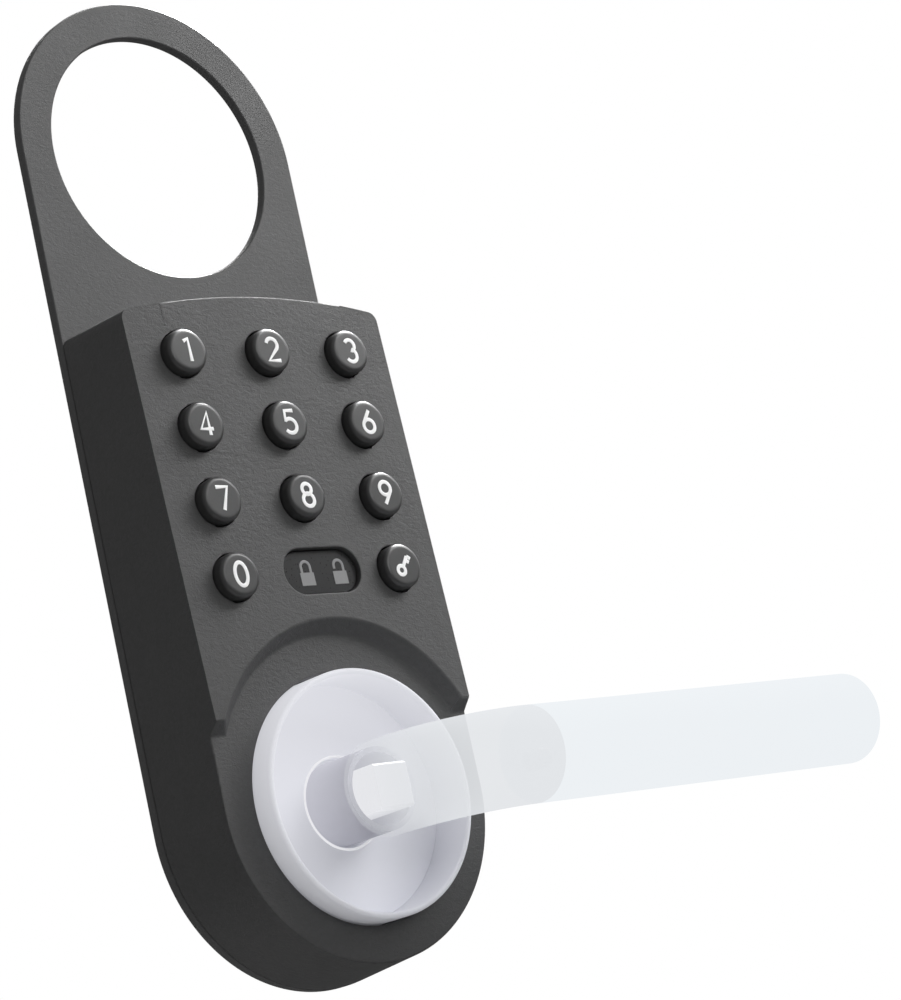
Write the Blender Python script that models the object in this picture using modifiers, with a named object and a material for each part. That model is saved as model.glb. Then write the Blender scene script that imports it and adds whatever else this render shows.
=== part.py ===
"""Outside unit of a keypad lever lock, in metres, +Z up.

The origin is on the lever's axis, in the plane where the unit meets the door. The front faces -Y.
Every piece is modelled in the lock frame, an empty at the origin whose local X runs across the lock,
local Y up it and local Z out of the door, so a local Z is a height above the door.
The keypad pieces are modelled in the panel frame, a child of the lock frame that leans with the face.
"""

import math

import bmesh
import bpy
from mathutils import Matrix, Vector

MM = 0.001
GAP = 0.3 * MM

# Back plate and housing
LOCK_HALF_WIDTH = 33.95 * MM
HOLE_RISE = 139.7 * MM
HOLE_RADIUS = 26.3 * MM
PLATE_THICKNESS = 2.4 * MM
HOUSING_BACK = PLATE_THICKNESS + GAP
HOUSING_HALF_WIDTH = 33.9 * MM
HOUSING_DRAFT = 0.092
HOUSING_TOP = 102.3 * MM
TOP_ARC_RADIUS = 195.7 * MM
TOP_CORNER = 2.2 * MM
BLANK_FRONT = 27.0 * MM
WALL = 2.4 * MM
BASE_FACE = 21.2 * MM

# Keypad face: its height above the door at the lever's level, its lean, its crown and its thickness
FACE_HEIGHT = 25.43 * MM
FACE_LEAN = math.atan(0.038)
FACE_CROWN_RADIUS = 500 * MM
FACE_THICKNESS = 3.0 * MM
KEYPAD_BOTTOM = 37.5 * MM

# Recess above the rosette: a cone about a point just over the lever's axis, ending in two short slopes
RECESS_RISE = 1.0 * MM
RECESS_RADIUS = 31.6 * MM
RECESS_SLOPE = 0.857
RECESS_END = 14.7 * MM

# Buttons
BUTTON_RADIUS = 4.6 * MM
BUTTON_HEIGHT = 2.45 * MM
BUTTON_EDGE = 0.9 * MM
BUTTON_FLANGE = 5.6 * MM
BUTTON_HOLE = 4.85 * MM
COLUMN_PITCH = 20.5 * MM
ROW_PITCH = 15.22 * MM
TOP_ROW = 90.1 * MM
LABELS = (("1", "2", "3"), ("4", "5", "6"), ("7", "8", "9"), ("0", None, "key"))

# Indicator window
WINDOW_CENTRE = (1.4 * MM, 44.9 * MM)
WINDOW_HALF_HEIGHT = 4.62 * MM
WINDOW_HALF_LENGTH = 9.55 * MM
LENS_RECESS = 1.2 * MM
LED_SPREAD = 4.6 * MM

# Layers behind the keypad face, as heights in the panel frame
CEILING = -FACE_THICKNESS
DOME_TOP = -5.6 * MM
MAT_FRONT = -7.2 * MM
MAT_BACK = -8.2 * MM
BOARD_FRONT = MAT_BACK - GAP
BOARD_BACK = BOARD_FRONT - 1.6 * MM
BOARD_HALF_WIDTH = 24.0 * MM
BOARD_LOW = 38.5 * MM
BOARD_HIGH = 97.0 * MM

# Screws and posts, as (across, up)
HOUSING_SCREWS = {
    "upper_left": (-27.8 * MM, 82.5 * MM),
    "upper_right": (27.8 * MM, 82.5 * MM),
    "lower_left": (-20.0 * MM, -20.0 * MM),
    "lower_right": (20.0 * MM, -20.0 * MM),
}
BOARD_SCREWS = {
    "upper_left": (-10.25 * MM, 82.5 * MM),
    "upper_right": (10.25 * MM, 82.5 * MM),
    "lower_left": (-10.25 * MM, 52.1 * MM),
    "lower_right": (10.25 * MM, 52.1 * MM),
}
MOUNTING_POSTS = {"left": (-19.0 * MM, 0.0), "right": (19.0 * MM, 0.0)}
CABLE_HOLE = (0.0, 64.0 * MM)

# Rosette and lever
SEAT_FLOOR = 15.0 * MM
SEAT_BACK = 12.8 * MM
ROSETTE_RADIUS = 24.57 * MM
ROSETTE_BACK = 15.2 * MM
ROSETTE_FLOOR = 16.4 * MM
ROSETTE_FRONT = 26.15 * MM
ROSETTE_WALL = 1.2 * MM
ROSETTE_HOLE = 8.9 * MM
LEVER_RADIUS = 9.45 * MM
NECK_BACK = 28.9 * MM
BEND_RADIUS = 20.0 * MM
BEND_START = 29.8 * MM
ELBOW_END = 20.5 * MM
ARM_HEIGHT = BEND_START + BEND_RADIUS
GRIP_END = 112.0 * MM
GRIP_WALL = 1.85 * MM
SPIGOT_RADIUS = 8.3 * MM
SPIGOT_BACK = 8.0 * MM
STUB_RADIUS = 7.3 * MM
STUB_END = 34.0 * MM

# Drive train behind the rosette
DRIVE_SQUARE = 8.8 * MM
DRIVE_SOCKET = 9.2 * MM
TAIL_SQUARE = 8.0 * MM
TAIL_REACH = -25.0 * MM
CAM_FRONT = 1.4 * MM
CAM_BACK = -0.8 * MM
CAM_RADIUS = 11.7 * MM
RING_RADIUS = 11.0 * MM
RING_CORE = 8.7 * MM
DOG_RADIUS = 8.6 * MM
FORK_BACK = 5.0 * MM
FORK_FRONT = 6.4 * MM
MOTOR_RISE = 28.5 * MM
STOP_RADIUS = 15.2 * MM
STOP_PIN_RADIUS = 1.6 * MM
LEVER_SWING = math.radians(50)
TAB_HALF_ANGLE = math.radians(8)

ROUND = 28
SMALL_ROUND = 12


def clear_scene():
    for obj in list(bpy.data.objects):
        bpy.data.objects.remove(obj, do_unlink=True)


def new_collection(name):
    collection = bpy.data.collections.new(name)
    bpy.context.scene.collection.children.link(collection)
    return collection


def new_frame(name, parent=None, location=(0, 0, 0), turn=0.0):
    """An empty turned about its own X axis, which the pieces hang on."""
    empty = bpy.data.objects.new(name, None)
    empty.parent = parent
    empty.location = location
    empty.rotation_euler = (turn, 0, 0)
    PARTS.objects.link(empty)
    return empty


def new_finish(name, colour, roughness, metallic=0.0, alpha=1.0):
    finish = bpy.data.materials.new(name)
    finish.use_nodes = True
    shader = finish.node_tree.nodes["Principled BSDF"]
    shader.inputs["Base Color"].default_value = (*colour, 1)
    shader.inputs["Roughness"].default_value = roughness
    shader.inputs["Metallic"].default_value = metallic
    shader.inputs["Alpha"].default_value = alpha
    finish.diffuse_color = (*colour, alpha)
    return finish


def make_finishes():
    return {
        "housing": new_finish("housing_grey", (0.13, 0.13, 0.13), 0.55),
        "plate": new_finish("plate_grey", (0.13, 0.13, 0.13), 0.5, 0.2),
        "button": new_finish("button_grey", (0.1, 0.1, 0.1), 0.45),
        "frosted": new_finish("frosted_white", (0.86, 0.87, 0.9), 0.35, 0.0, 0.55),
        "white": new_finish("seat_white", (0.75, 0.75, 0.78), 0.4),
        "lens": new_finish("lens_grey", (0.09, 0.09, 0.09), 0.15),
        "clear": new_finish("light_guide_clear", (0.85, 0.87, 0.9), 0.1, 0.0, 0.4),
        "silicone": new_finish("silicone_grey", (0.35, 0.36, 0.38), 0.7),
        "board": new_finish("board_green", (0.02, 0.16, 0.07), 0.45),
        "black": new_finish("black_plastic", (0.02, 0.02, 0.02), 0.5),
        "steel": new_finish("steel", (0.6, 0.6, 0.6), 0.3, 1.0),
        "zinc": new_finish("zinc_casting", (0.45, 0.45, 0.46), 0.45, 1.0),
        "brass": new_finish("brass", (0.65, 0.5, 0.2), 0.3, 1.0),
        "rubber": new_finish("black_rubber", (0.015, 0.015, 0.015), 0.8),
    }


def add_piece(name, mesh, finish, parent):
    obj = bpy.data.objects.new(name, mesh)
    obj.parent = parent
    mesh.materials.append(FINISHES[finish])
    PARTS.objects.link(obj)
    return obj


def add_cutter(name, mesh, parent):
    obj = bpy.data.objects.new(name, mesh)
    obj.parent = parent
    obj.hide_render = True
    obj.display_type = "WIRE"
    CUTTERS.objects.link(obj)
    return obj


def combine(obj, other, operation):
    """Cuts, joins or keeps the common part of two closed meshes."""
    modifier = obj.modifiers.new(other.name, "BOOLEAN")
    modifier.operation = operation
    modifier.object = other
    modifier.solver = "EXACT"


def cut(obj, *others):
    for other in others:
        combine(obj, other, "DIFFERENCE")


def join(obj, *others):
    for other in others:
        combine(obj, other, "UNION")


def mesh_from(name, bm):
    mesh = bpy.data.meshes.new(name)
    bmesh.ops.recalc_face_normals(bm, faces=bm.faces)
    bm.to_mesh(mesh)
    bm.free()
    return mesh


def smooth(mesh, angle=35):
    mesh.shade_smooth()
    mesh.set_sharp_from_angle(angle=math.radians(angle))
    return mesh


def box_mesh(name, low, high):
    """A box between two opposite corners."""
    bm = bmesh.new()
    size = Vector(high) - Vector(low)
    middle = (Vector(high) + Vector(low)) / 2
    bmesh.ops.create_cube(bm, size=1, matrix=Matrix.Translation(middle) @ Matrix.Diagonal((*size, 1)))
    return mesh_from(name, bm)


def cylinder_mesh(name, centres, radius, low, high, steps=SMALL_ROUND, high_radius=None):
    """Upright cylinders or cones at each (x, y) of centres, between two heights."""
    bm = bmesh.new()
    for x, y in centres:
        bmesh.ops.create_cone(
            bm,
            cap_ends=True,
            segments=steps,
            radius1=radius,
            radius2=radius if high_radius is None else high_radius,
            depth=high - low,
            matrix=Matrix.Translation((x, y, (low + high) / 2)),
        )
    return smooth(mesh_from(name, bm))


def prism_mesh(name, outline, low, high, side_scale=1.0):
    """An outline carried up from low to high. side_scale narrows the high end and its round bottom."""
    bm = bmesh.new()
    face = bm.faces.new([bm.verts.new((x, y, low)) for x, y in outline])
    raised = bmesh.ops.extrude_face_region(bm, geom=[face])
    for vert in raised["geom"]:
        if isinstance(vert, bmesh.types.BMVert):
            vert.co.x *= side_scale
            vert.co.y *= side_scale if vert.co.y < 0 else 1
            vert.co.z = high
    return smooth(mesh_from(name, bm))


def turned_object(make, name, profile, steps=ROUND, closed=False):
    """A profile of (radius, height) points turned about local Z. It runs down the outer side.

    make is called with the profile's mesh and returns the new object.
    """
    mesh = bpy.data.meshes.new(name)
    edges = [(i, i + 1) for i in range(len(profile) - 1)]
    if closed:
        edges.append((len(profile) - 1, 0))
    mesh.from_pydata([(radius, 0, height) for radius, height in profile], edges, [])
    obj = make(mesh)
    screw = obj.modifiers.new("turn", "SCREW")
    screw.steps = steps
    screw.render_steps = steps
    screw.use_merge_vertices = True
    screw.merge_threshold = 0.00001
    screw.use_smooth_shade = True
    return obj


def turned_piece(name, profile, finish, parent, steps=ROUND, closed=False):
    return turned_object(lambda mesh: add_piece(name, mesh, finish, parent), name, profile, steps, closed)


def arc(centre, radius, start, end, steps):
    """Points on an arc, both ends included, with the angles in radians."""
    turns = [start + (end - start) * i / steps for i in range(steps + 1)]
    return [(centre[0] + radius * math.cos(a), centre[1] + radius * math.sin(a)) for a in turns]


def stadium(half_width, low, high, steps=24):
    """An upright slot shape, from the lower arc's centre height to the upper one's."""
    over = arc((0, high), half_width, 0, math.pi, steps)
    under = arc((0, low), half_width, math.pi, math.tau, steps)
    return over + under


def long_slot(centre, half_height, half_length, steps=10):
    """A slot shape that lies across."""
    reach = half_length - half_height
    right = arc((centre[0] + reach, centre[1]), half_height, -math.pi / 2, math.pi / 2, steps)
    left = arc((centre[0] - reach, centre[1]), half_height, math.pi / 2, 3 * math.pi / 2, steps)
    return right + left


def housing_outline(half_width, top, corner):
    """Round bottom about the origin, straight sides, small round corners and a shallow arched top."""
    middle = top - TOP_ARC_RADIUS
    side = half_width - corner
    corner_rise = middle + math.sqrt((TOP_ARC_RADIUS - corner) ** 2 - side**2)
    lean = math.atan2(corner_rise - middle, side)
    return (
        arc((0, 0), half_width, math.pi, math.tau, 28)
        + arc((side, corner_rise), corner, 0, lean, 3)
        + arc((0, middle), TOP_ARC_RADIUS, lean, math.pi - lean, 10)[1:-1]
        + arc((-side, corner_rise), corner, math.pi - lean, math.pi, 3)
    )


def side_scale(half_width, rise):
    return 1 - HOUSING_DRAFT * rise / half_width


def make_back_plate():
    plate_mesh = prism_mesh("back_plate", stadium(LOCK_HALF_WIDTH, 0, HOLE_RISE, 28), 0, PLATE_THICKNESS)
    plate = add_piece("back_plate", plate_mesh, "plate", LOCK)
    low, high = -1 * MM, PLATE_THICKNESS + 1 * MM
    holes = {
        "upper_hole_cutter": ([(0, HOLE_RISE)], HOLE_RADIUS, low, high, 48),
        "cam_hole_cutter": ([(0, 0)], CAM_RADIUS + 0.5 * MM, low, high, ROUND),
        "cable_hole_cutter": ([CABLE_HOLE], 6 * MM, low, high, 24),
        "screw_hole_cutter": (HOUSING_SCREWS.values(), 1.6 * MM, low, high, SMALL_ROUND),
        "screw_head_cutter": (HOUSING_SCREWS.values(), 3.2 * MM, low, 1.3 * MM, SMALL_ROUND),
        "post_hole_cutter": (MOUNTING_POSTS.values(), 2.8 * MM, low, high, SMALL_ROUND),
        "stop_pin_hole_cutter": (stop_pin_places().values(), STOP_PIN_RADIUS + GAP, low, high, 12),
    }
    for name, shape in holes.items():
        cut(plate, add_cutter(name, cylinder_mesh(name, *shape), LOCK))


def make_face_envelope():
    """A block under the crowned, leaning keypad face. Its arc is what the housing blank is trimmed to."""
    reach = 40 * MM
    half_angle = math.asin(reach / FACE_CROWN_RADIUS)
    top = math.pi / 2
    crown = arc((0, -FACE_CROWN_RADIUS), FACE_CROWN_RADIUS, top - half_angle, top + half_angle, 14)
    bm = bmesh.new()
    outline = [(-reach, -40 * MM), (reach, -40 * MM)] + crown
    face = bm.faces.new([bm.verts.new((x, -60 * MM, height)) for x, height in outline])
    raised = bmesh.ops.extrude_face_region(bm, geom=[face])
    moved = [vert for vert in raised["geom"] if isinstance(vert, bmesh.types.BMVert)]
    bmesh.ops.translate(bm, verts=moved, vec=(0, 180 * MM, 0))
    return add_cutter("face_envelope", mesh_from("face_envelope", bm), PANEL)


def make_recess_cutters():
    """The cone and the slope that take the housing down to the lever's level."""
    front = 30 * MM
    widening = (front - BASE_FACE) * RECESS_SLOPE
    cone_mesh = cylinder_mesh(
        "recess_cone", [(0, RECESS_RISE)], RECESS_RADIUS, BASE_FACE, front, 56, RECESS_RADIUS + widening
    )
    bm = bmesh.new()
    low = Vector((-40 * MM, -45 * MM, BASE_FACE))
    high = Vector((40 * MM, RECESS_END, front))
    shape = Matrix.Translation((low + high) / 2) @ Matrix.Diagonal((*(high - low), 1))
    bmesh.ops.create_cube(bm, size=1, matrix=shape)
    for vert in bm.verts:
        if vert.co.y > 0 and vert.co.z > BASE_FACE + GAP:
            vert.co.y += widening
    slope_mesh = mesh_from("recess_slope", bm)
    return add_cutter("recess_cone", cone_mesh, LOCK), add_cutter("recess_slope", slope_mesh, LOCK)


def make_cavity():
    """The hollow behind the keypad and the lever seat, less the screw bosses that stand in it."""
    half_width = HOUSING_HALF_WIDTH - WALL
    back, front = HOUSING_BACK - 1 * MM, BLANK_FRONT
    outline = housing_outline(half_width, HOUSING_TOP - WALL, 1.2 * MM)
    cavity_mesh = prism_mesh("cavity", outline, back, front, side_scale(half_width, front - back))
    cavity = add_cutter("cavity", cavity_mesh, LOCK)
    ceiling_mesh = box_mesh("ceiling", (-40 * MM, -60 * MM, CEILING), (40 * MM, 120 * MM, 20 * MM))
    seat_mesh = box_mesh("seat_block", (-40 * MM, -50 * MM, SEAT_BACK), (40 * MM, KEYPAD_BOTTOM, 40 * MM))
    boss_foot = HOUSING_BACK + GAP
    bosses = cylinder_mesh("housing_bosses", HOUSING_SCREWS.values(), 3 * MM, boss_foot, 30 * MM)
    board_bosses = cylinder_mesh("board_bosses", BOARD_SCREWS.values(), 2.3 * MM, MAT_BACK, 5 * MM)
    cut(
        cavity,
        add_cutter("ceiling", ceiling_mesh, PANEL),
        add_cutter("seat_block", seat_mesh, LOCK),
        add_cutter("housing_bosses", bosses, LOCK),
        add_cutter("board_bosses", board_bosses, PANEL),
    )
    return cavity


def button_places():
    """Each button's label and its place in the panel frame, on the crowned face."""
    for row, labels in enumerate(LABELS):
        for column, label in enumerate(labels):
            if label:
                x = (column - 1) * COLUMN_PITCH
                sag = x**2 / (2 * FACE_CROWN_RADIUS)
                yield label, (x, TOP_ROW - row * ROW_PITCH, -sag)


def make_front_housing():
    outline = housing_outline(HOUSING_HALF_WIDTH, HOUSING_TOP, TOP_CORNER)
    scale = side_scale(HOUSING_HALF_WIDTH, BLANK_FRONT - HOUSING_BACK)
    blank = prism_mesh("front_housing", outline, HOUSING_BACK, BLANK_FRONT, scale)
    housing = add_piece("front_housing", blank, "housing", LOCK)
    combine(housing, make_face_envelope(), "INTERSECT")
    cone, slope = make_recess_cutters()
    seat_mesh = cylinder_mesh("seat_bore", [(0, 0)], ROSETTE_RADIUS + GAP, SEAT_FLOOR, 40 * MM, 48)
    shaft_mesh = cylinder_mesh("shaft_bore", [(0, 0)], 11 * MM, 10 * MM, 20 * MM, ROUND)
    places = [place[:2] for _, place in button_places()]
    button_mesh = cylinder_mesh("button_holes", places, BUTTON_HOLE, -6 * MM, 6 * MM, 16)
    window = long_slot(WINDOW_CENTRE, WINDOW_HALF_HEIGHT, WINDOW_HALF_LENGTH)
    window_mesh = prism_mesh("window_hole", window, -6 * MM, 6 * MM)
    pilot_mesh = cylinder_mesh("screw_pilots", HOUSING_SCREWS.values(), 1.5 * MM, 1 * MM, 10.5 * MM, 12)
    board_pilot = cylinder_mesh("board_pilots", BOARD_SCREWS.values(), 1.3 * MM, -9 * MM, -4.2 * MM, 12)
    cut(
        housing,
        cone,
        slope,
        make_cavity(),
        add_cutter("seat_bore", seat_mesh, LOCK),
        add_cutter("shaft_bore", shaft_mesh, LOCK),
        add_cutter("button_holes", button_mesh, PANEL),
        add_cutter("window_hole", window_mesh, PANEL),
        add_cutter("screw_pilots", pilot_mesh, LOCK),
        add_cutter("board_pilots", board_pilot, PANEL),
    )


def make_buttons():
    """Round buttons with a rounded rim and a flange that keeps each one behind the face."""
    rim = arc((BUTTON_RADIUS - BUTTON_EDGE, BUTTON_HEIGHT - BUTTON_EDGE), BUTTON_EDGE, math.pi / 2, 0, 2)
    flange_top, flange_bottom = -3.4 * MM, -4.2 * MM
    profile = [
        (0, BUTTON_HEIGHT),
        *rim,
        (BUTTON_RADIUS, flange_top),
        (BUTTON_FLANGE, flange_top),
        (BUTTON_FLANGE, flange_bottom),
        (0, flange_bottom),
    ]
    for label, place in button_places():
        button = turned_piece(f"button_{label}", profile, "button", PANEL, steps=16)
        button.location = place


def make_indicator():
    """The window's lens, with a flange behind the face, and the two light guides and lights behind it."""
    inset = 0.32 * MM
    lens_outline = long_slot(WINDOW_CENTRE, WINDOW_HALF_HEIGHT - inset, WINDOW_HALF_LENGTH - inset)
    lens_mesh = prism_mesh("indicator_lens", lens_outline, -4 * MM, -LENS_RECESS)
    lens = add_piece("indicator_lens", lens_mesh, "lens", PANEL)
    flange_outline = long_slot(WINDOW_CENTRE, WINDOW_HALF_HEIGHT + 1 * MM, WINDOW_HALF_LENGTH + 1 * MM)
    flange_mesh = prism_mesh("lens_flange", flange_outline, -4.3 * MM, CEILING - GAP)
    join(lens, add_cutter("lens_flange", flange_mesh, PANEL))
    for name, side in (("locked", -1), ("unlocked", 1)):
        x, y = WINDOW_CENTRE[0] + side * LED_SPREAD, WINDOW_CENTRE[1]
        guide_low, guide_high = (x - 3 * MM, y - 3 * MM, -6.7 * MM), (x + 3 * MM, y + 3 * MM, -4.6 * MM)
        add_piece(f"light_guide_{name}", box_mesh("light_guide", guide_low, guide_high), "clear", PANEL)
        led_low, led_high = (x - 1.6 * MM, y - 0.8 * MM, -8.2 * MM), (x + 1.6 * MM, y + 0.8 * MM, -7.1 * MM)
        add_piece(f"led_{name}", box_mesh("led", led_low, led_high), "white", PANEL)


def make_keypad_mat():
    """A silicone sheet with one dome under each button."""
    low, high = (-23.5 * MM, BOARD_LOW, MAT_BACK), (23.5 * MM, BOARD_HIGH, MAT_FRONT)
    mat = add_piece("keypad_mat", box_mesh("keypad_mat", low, high), "silicone", PANEL)
    places = [place[:2] for _, place in button_places()]
    domes = cylinder_mesh("domes", places, 4.4 * MM, MAT_BACK + GAP, DOME_TOP, 10, 3.2 * MM)
    holes = cylinder_mesh("mat_holes", BOARD_SCREWS.values(), 2.6 * MM, -10 * MM, -6 * MM, 10)
    window = long_slot(WINDOW_CENTRE, WINDOW_HALF_HEIGHT + 1.4 * MM, WINDOW_HALF_LENGTH + 0.6 * MM, 6)
    window_mesh = prism_mesh("mat_window", window, -10 * MM, -5 * MM)
    join(mat, add_cutter("domes", domes, PANEL))
    cut(mat, add_cutter("mat_holes", holes, PANEL), add_cutter("mat_window", window_mesh, PANEL))


def make_circuit_board():
    low, high = (-BOARD_HALF_WIDTH, BOARD_LOW, BOARD_BACK), (BOARD_HALF_WIDTH, BOARD_HIGH, BOARD_FRONT)
    board = add_piece("circuit_board", box_mesh("circuit_board", low, high), "board", PANEL)
    holes = cylinder_mesh("board_holes", BOARD_SCREWS.values(), 1.3 * MM, -12 * MM, -6 * MM, 12)
    cut(board, add_cutter("board_holes", holes, PANEL))
    top = BOARD_BACK - GAP
    chips = {
        "controller_chip": ((-4 * MM, 71 * MM, top - 1 * MM), (4 * MM, 79 * MM, top), "black"),
        "cable_socket": ((-6 * MM, 60 * MM, top - 3.4 * MM), (6 * MM, 66 * MM, top), "white"),
    }
    for name, (chip_low, chip_high, finish) in chips.items():
        add_piece(name, box_mesh(name, chip_low, chip_high), finish, PANEL)
    buzzer = cylinder_mesh("buzzer", [(0, 90 * MM)], 4.5 * MM, top - 3 * MM, top, 24)
    add_piece("buzzer", buzzer, "black", PANEL)


def make_screws():
    head_back = BOARD_BACK - GAP - 1.3 * MM
    board_profile = [
        (0, -4.6 * MM),
        (1.0 * MM, -4.6 * MM),
        (1.0 * MM, BOARD_BACK - GAP),
        (1.9 * MM, BOARD_BACK - GAP),
        (1.9 * MM, head_back),
        (0, head_back),
    ]
    housing_profile = [
        (0, 9 * MM),
        (1.25 * MM, 9 * MM),
        (1.25 * MM, 1.1 * MM),
        (2.9 * MM, 1.1 * MM),
        (2.9 * MM, 0.1 * MM),
        (0, 0.1 * MM),
    ]
    for name, (x, y) in BOARD_SCREWS.items():
        screw = turned_piece(f"board_screw_{name}", board_profile, "steel", PANEL, SMALL_ROUND)
        screw.location = (x, y, 0)
    for name, (x, y) in HOUSING_SCREWS.items():
        screw = turned_piece(f"housing_screw_{name}", housing_profile, "steel", LOCK, SMALL_ROUND)
        screw.location = (x, y, 0)


def make_mounting_posts():
    """Posts riveted into the plate, each with a threaded bore that the inside unit's bolts go into."""
    profile = [
        (0, 4.0 * MM),
        (4.2 * MM, 4.0 * MM),
        (4.2 * MM, 2.7 * MM),
        (2.5 * MM, 2.7 * MM),
        (2.5 * MM, -0.3 * MM),
        (3.5 * MM, -0.3 * MM),
        (3.5 * MM, -11 * MM),
        (1.9 * MM, -11 * MM),
        (1.9 * MM, -3 * MM),
        (0, -3 * MM),
    ]
    for name, (x, y) in MOUNTING_POSTS.items():
        post = turned_piece(f"mounting_post_{name}", profile, "steel", LOCK, 14)
        post.location = (x, y, 0)


def make_cable_grommet():
    profile = [
        (3.2 * MM, 3.7 * MM),
        (7.6 * MM, 3.7 * MM),
        (7.6 * MM, 2.7 * MM),
        (5.6 * MM, 2.7 * MM),
        (5.6 * MM, 0.2 * MM),
        (3.2 * MM, 0.2 * MM),
    ]
    grommet = turned_piece("cable_grommet", profile, "rubber", LOCK, 16, closed=True)
    grommet.location = (*CABLE_HOLE, 0)


def make_rosette():
    """The open dish round the lever's neck: its floor ring and its thin wall with a rounded rim."""
    base_profile = [
        (ROSETTE_HOLE, ROSETTE_FLOOR),
        (ROSETTE_RADIUS - ROSETTE_WALL - GAP, ROSETTE_FLOOR),
        (ROSETTE_RADIUS - ROSETTE_WALL - GAP, ROSETTE_BACK),
        (ROSETTE_HOLE, ROSETTE_BACK),
    ]
    turned_piece("rosette_base", base_profile, "white", LOCK, 40, closed=True)
    edge = ROSETTE_WALL / 2
    wall_profile = [
        *arc((ROSETTE_RADIUS - edge, ROSETTE_FRONT - edge), edge, math.pi, 0, 6),
        (ROSETTE_RADIUS, ROSETTE_BACK),
        (ROSETTE_RADIUS - ROSETTE_WALL, ROSETTE_BACK),
    ]
    turned_piece("rosette", wall_profile, "frosted", LOCK, 48, closed=True)


def lever_path():
    """Centre line of the neck and the bend, as points in the lock frame."""
    steps = 9
    turns = [math.pi / 2 * i / steps for i in range(steps + 1)]
    bend = [(BEND_RADIUS * (1 - math.cos(a)), 0, BEND_START + BEND_RADIUS * math.sin(a)) for a in turns]
    return [(0, 0, NECK_BACK)] + bend + [(ELBOW_END, 0, ARM_HEIGHT)]


def make_bar_mesh(name, path, radius, resolution):
    """A round bar along a path, as a closed mesh."""
    curve = bpy.data.curves.new(name, "CURVE")
    curve.dimensions = "3D"
    curve.bevel_depth = radius
    curve.bevel_resolution = resolution
    curve.use_fill_caps = True
    spline = curve.splines.new("POLY")
    spline.points.add(len(path) - 1)
    for point, place in zip(spline.points, path):
        point.co = (*place, 1)
    guide = bpy.data.objects.new(name, curve)
    bpy.context.scene.collection.objects.link(guide)
    graph = bpy.context.evaluated_depsgraph_get()
    mesh = bpy.data.meshes.new_from_object(guide.evaluated_get(graph))
    bpy.data.objects.remove(guide, do_unlink=True)
    mesh.materials.clear()
    bm = bmesh.new()
    bm.from_mesh(mesh)
    bmesh.ops.remove_doubles(bm, verts=bm.verts, dist=0.00001)
    bm.to_mesh(mesh)
    bm.free()
    return mesh


def make_elbow():
    """The lever's neck and bend, with a spigot into the lock, a stub into the grip and a square socket."""
    bar = make_bar_mesh("lever_elbow", lever_path(), LEVER_RADIUS, 12)
    elbow = add_piece("lever_elbow", smooth(bar), "frosted", LOCK)
    spigot_top = NECK_BACK + 1 * MM
    spigot_mesh = cylinder_mesh("spigot", [(0, 0)], SPIGOT_RADIUS, SPIGOT_BACK, spigot_top, ROUND)
    stub_mesh = cylinder_mesh("stub", [(0, 0)], STUB_RADIUS, ELBOW_END - 1 * MM, STUB_END, 28)
    stub = add_cutter("stub", stub_mesh, LOCK)
    stub.location = (0, 0, ARM_HEIGHT)
    stub.rotation_euler = (0, math.pi / 2, 0)
    half = DRIVE_SOCKET / 2
    socket_mesh = box_mesh("socket", (-half, -half, SPIGOT_BACK - 1 * MM), (half, half, 32.7 * MM))
    groove_profile = [(12 * MM, 9.3 * MM), (12 * MM, 8.3 * MM), (7.3 * MM, 8.3 * MM), (7.3 * MM, 9.3 * MM)]
    groove = turned_object(
        lambda mesh: add_cutter("clip_groove", mesh, LOCK), "clip_groove", groove_profile, ROUND, True
    )
    screw_hole = cylinder_mesh("grub_hole", [(28 * MM, 0)], 2.3 * MM, ARM_HEIGHT - 10 * MM, ARM_HEIGHT, 14)
    join(elbow, add_cutter("spigot", spigot_mesh, LOCK), stub)
    cut(elbow, add_cutter("socket", socket_mesh, LOCK), groove, add_cutter("grub_hole", screw_hole, LOCK))


def make_grip():
    """A hollow bar with a closed, softly rounded end, that slides over the elbow's stub."""
    edge = 1.2 * MM
    inner = LEVER_RADIUS - GRIP_WALL
    profile = [
        (0, GRIP_END),
        *arc((LEVER_RADIUS - edge, GRIP_END - edge), edge, math.pi / 2, 0, 2),
        (LEVER_RADIUS, ELBOW_END + GAP),
        (inner, ELBOW_END + GAP),
        (inner, GRIP_END - GRIP_WALL),
        (0, GRIP_END - GRIP_WALL),
    ]
    grip = turned_piece("lever_grip", profile, "frosted", LOCK, 28)
    grip.location = (0, 0, ARM_HEIGHT)
    grip.rotation_euler = (0, math.pi / 2, 0)
    cut(grip, bpy.data.objects["grub_hole"])
    screw_profile = [
        (0, ARM_HEIGHT - 4 * MM),
        (1.5 * MM, ARM_HEIGHT - 4 * MM),
        (2 * MM, ARM_HEIGHT - 4.5 * MM),
        (2 * MM, ARM_HEIGHT - 9 * MM),
        (0, ARM_HEIGHT - 9 * MM),
    ]
    screw = turned_piece("grub_screw", screw_profile, "steel", LOCK, SMALL_ROUND)
    screw.location = (28 * MM, 0, 0)


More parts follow.
